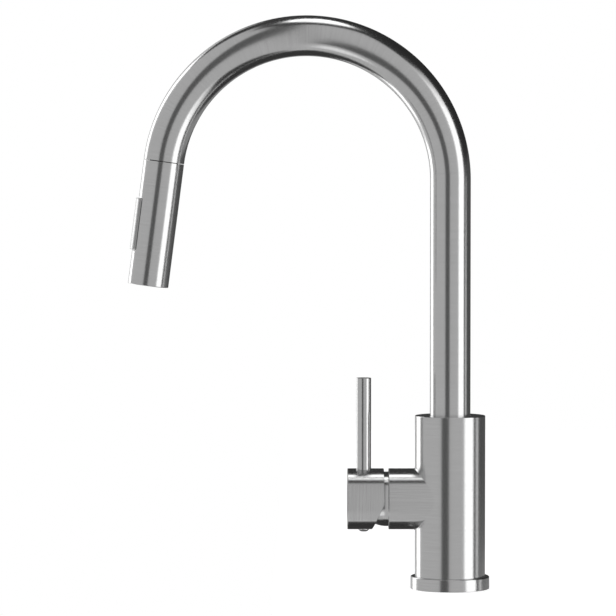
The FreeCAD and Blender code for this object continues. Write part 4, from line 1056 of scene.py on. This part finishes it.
for radius, places in ((HOSE_R, range(HOSE_ROWS + 1)), (HOSE_BORE, range(HOSE_ROWS, -1, -1))):
    for n in places:
        rings.append(head_ring(bm, radius, HOSE_START + (HOSE_END - HOSE_START) * n / HOSE_ROWS, turns))
rings_between(bm, rings + rings[:1])
hose = finish_piece("hose_braided", bm, braid, None, "braided_hose", "hose_lead")
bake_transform(hose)

# Parts inside
# The valve block, cartridge, swivel, dock, hose and spray insert. They are turned, moulded or pressed parts
# that keep their CAD shapes, and show from below, with the head pulled out, or with a shell taken off. Each
# finish has two near colours, the size of its grain in millimetres and its roughness.
FINISHES = {
    "brushed_stainless": column_steel,
    # Machined brass: warm, with a fine tool grain and soft gloss.
    "brass": moulded("machined_brass", "#C9A660", "#BE9850", 0.6, 0.28, metal=1.0),
    # Rolled spring steel: bright and nearly even.
    "plain_steel": moulded("rolled_spring_steel", "#BDBDBE", "#B3B3B5", 0.5, 0.25, metal=1.0),
    # Sintered ferrite: near black, with a dull sandy grain.
    "magnet": moulded("sintered_ferrite", "#38383B", "#2E2E31", 0.3, 0.6),
    # Lapped alumina: ivory white, glassy smooth.
    "valve_ceramic": moulded("lapped_alumina", "#EFEDE8", "#E9E6DF", 0.4, 0.2),
    # Moulded acetal: milky white with a waxy sheen.
    "white_polymer": moulded("moulded_acetal", "#E6E6E3", "#DFDFDB", 0.8, 0.42),
    # Glass-filled nylon: black, with the short fibres felt as a fine matt grain.
    "dark_polymer": moulded("moulded_glass_filled_nylon", "#262628", "#1E1E20", 0.4, 0.5),
    # Moulded ABS: mid grey and evenly satin.
    "grey_polymer": moulded("moulded_abs", "#8C8C8E", "#858587", 0.5, 0.4),
    "nozzle_silicone": silicone,
    # Nitrile rubber: black and dull, with no gloss line.
    "seal_rubber": moulded("nitrile_rubber", "#232323", "#1C1C1C", 0.3, 0.6),
    # The sleeve where it lies out of sight in the spout, woven as above but drawn as plain mottled grey.
    "braided_hose": moulded("nylon_braid_in_spout", "#5E5E61", "#3C3C3E", 0.7, 0.6, relief_depth=0.15),
}
for entry in frame["record"]["subparts"]:
    for slot in frame["nodes"][entry["node"]].material_slots:
        slot.material = FINISHES[entry["material_slot"]]
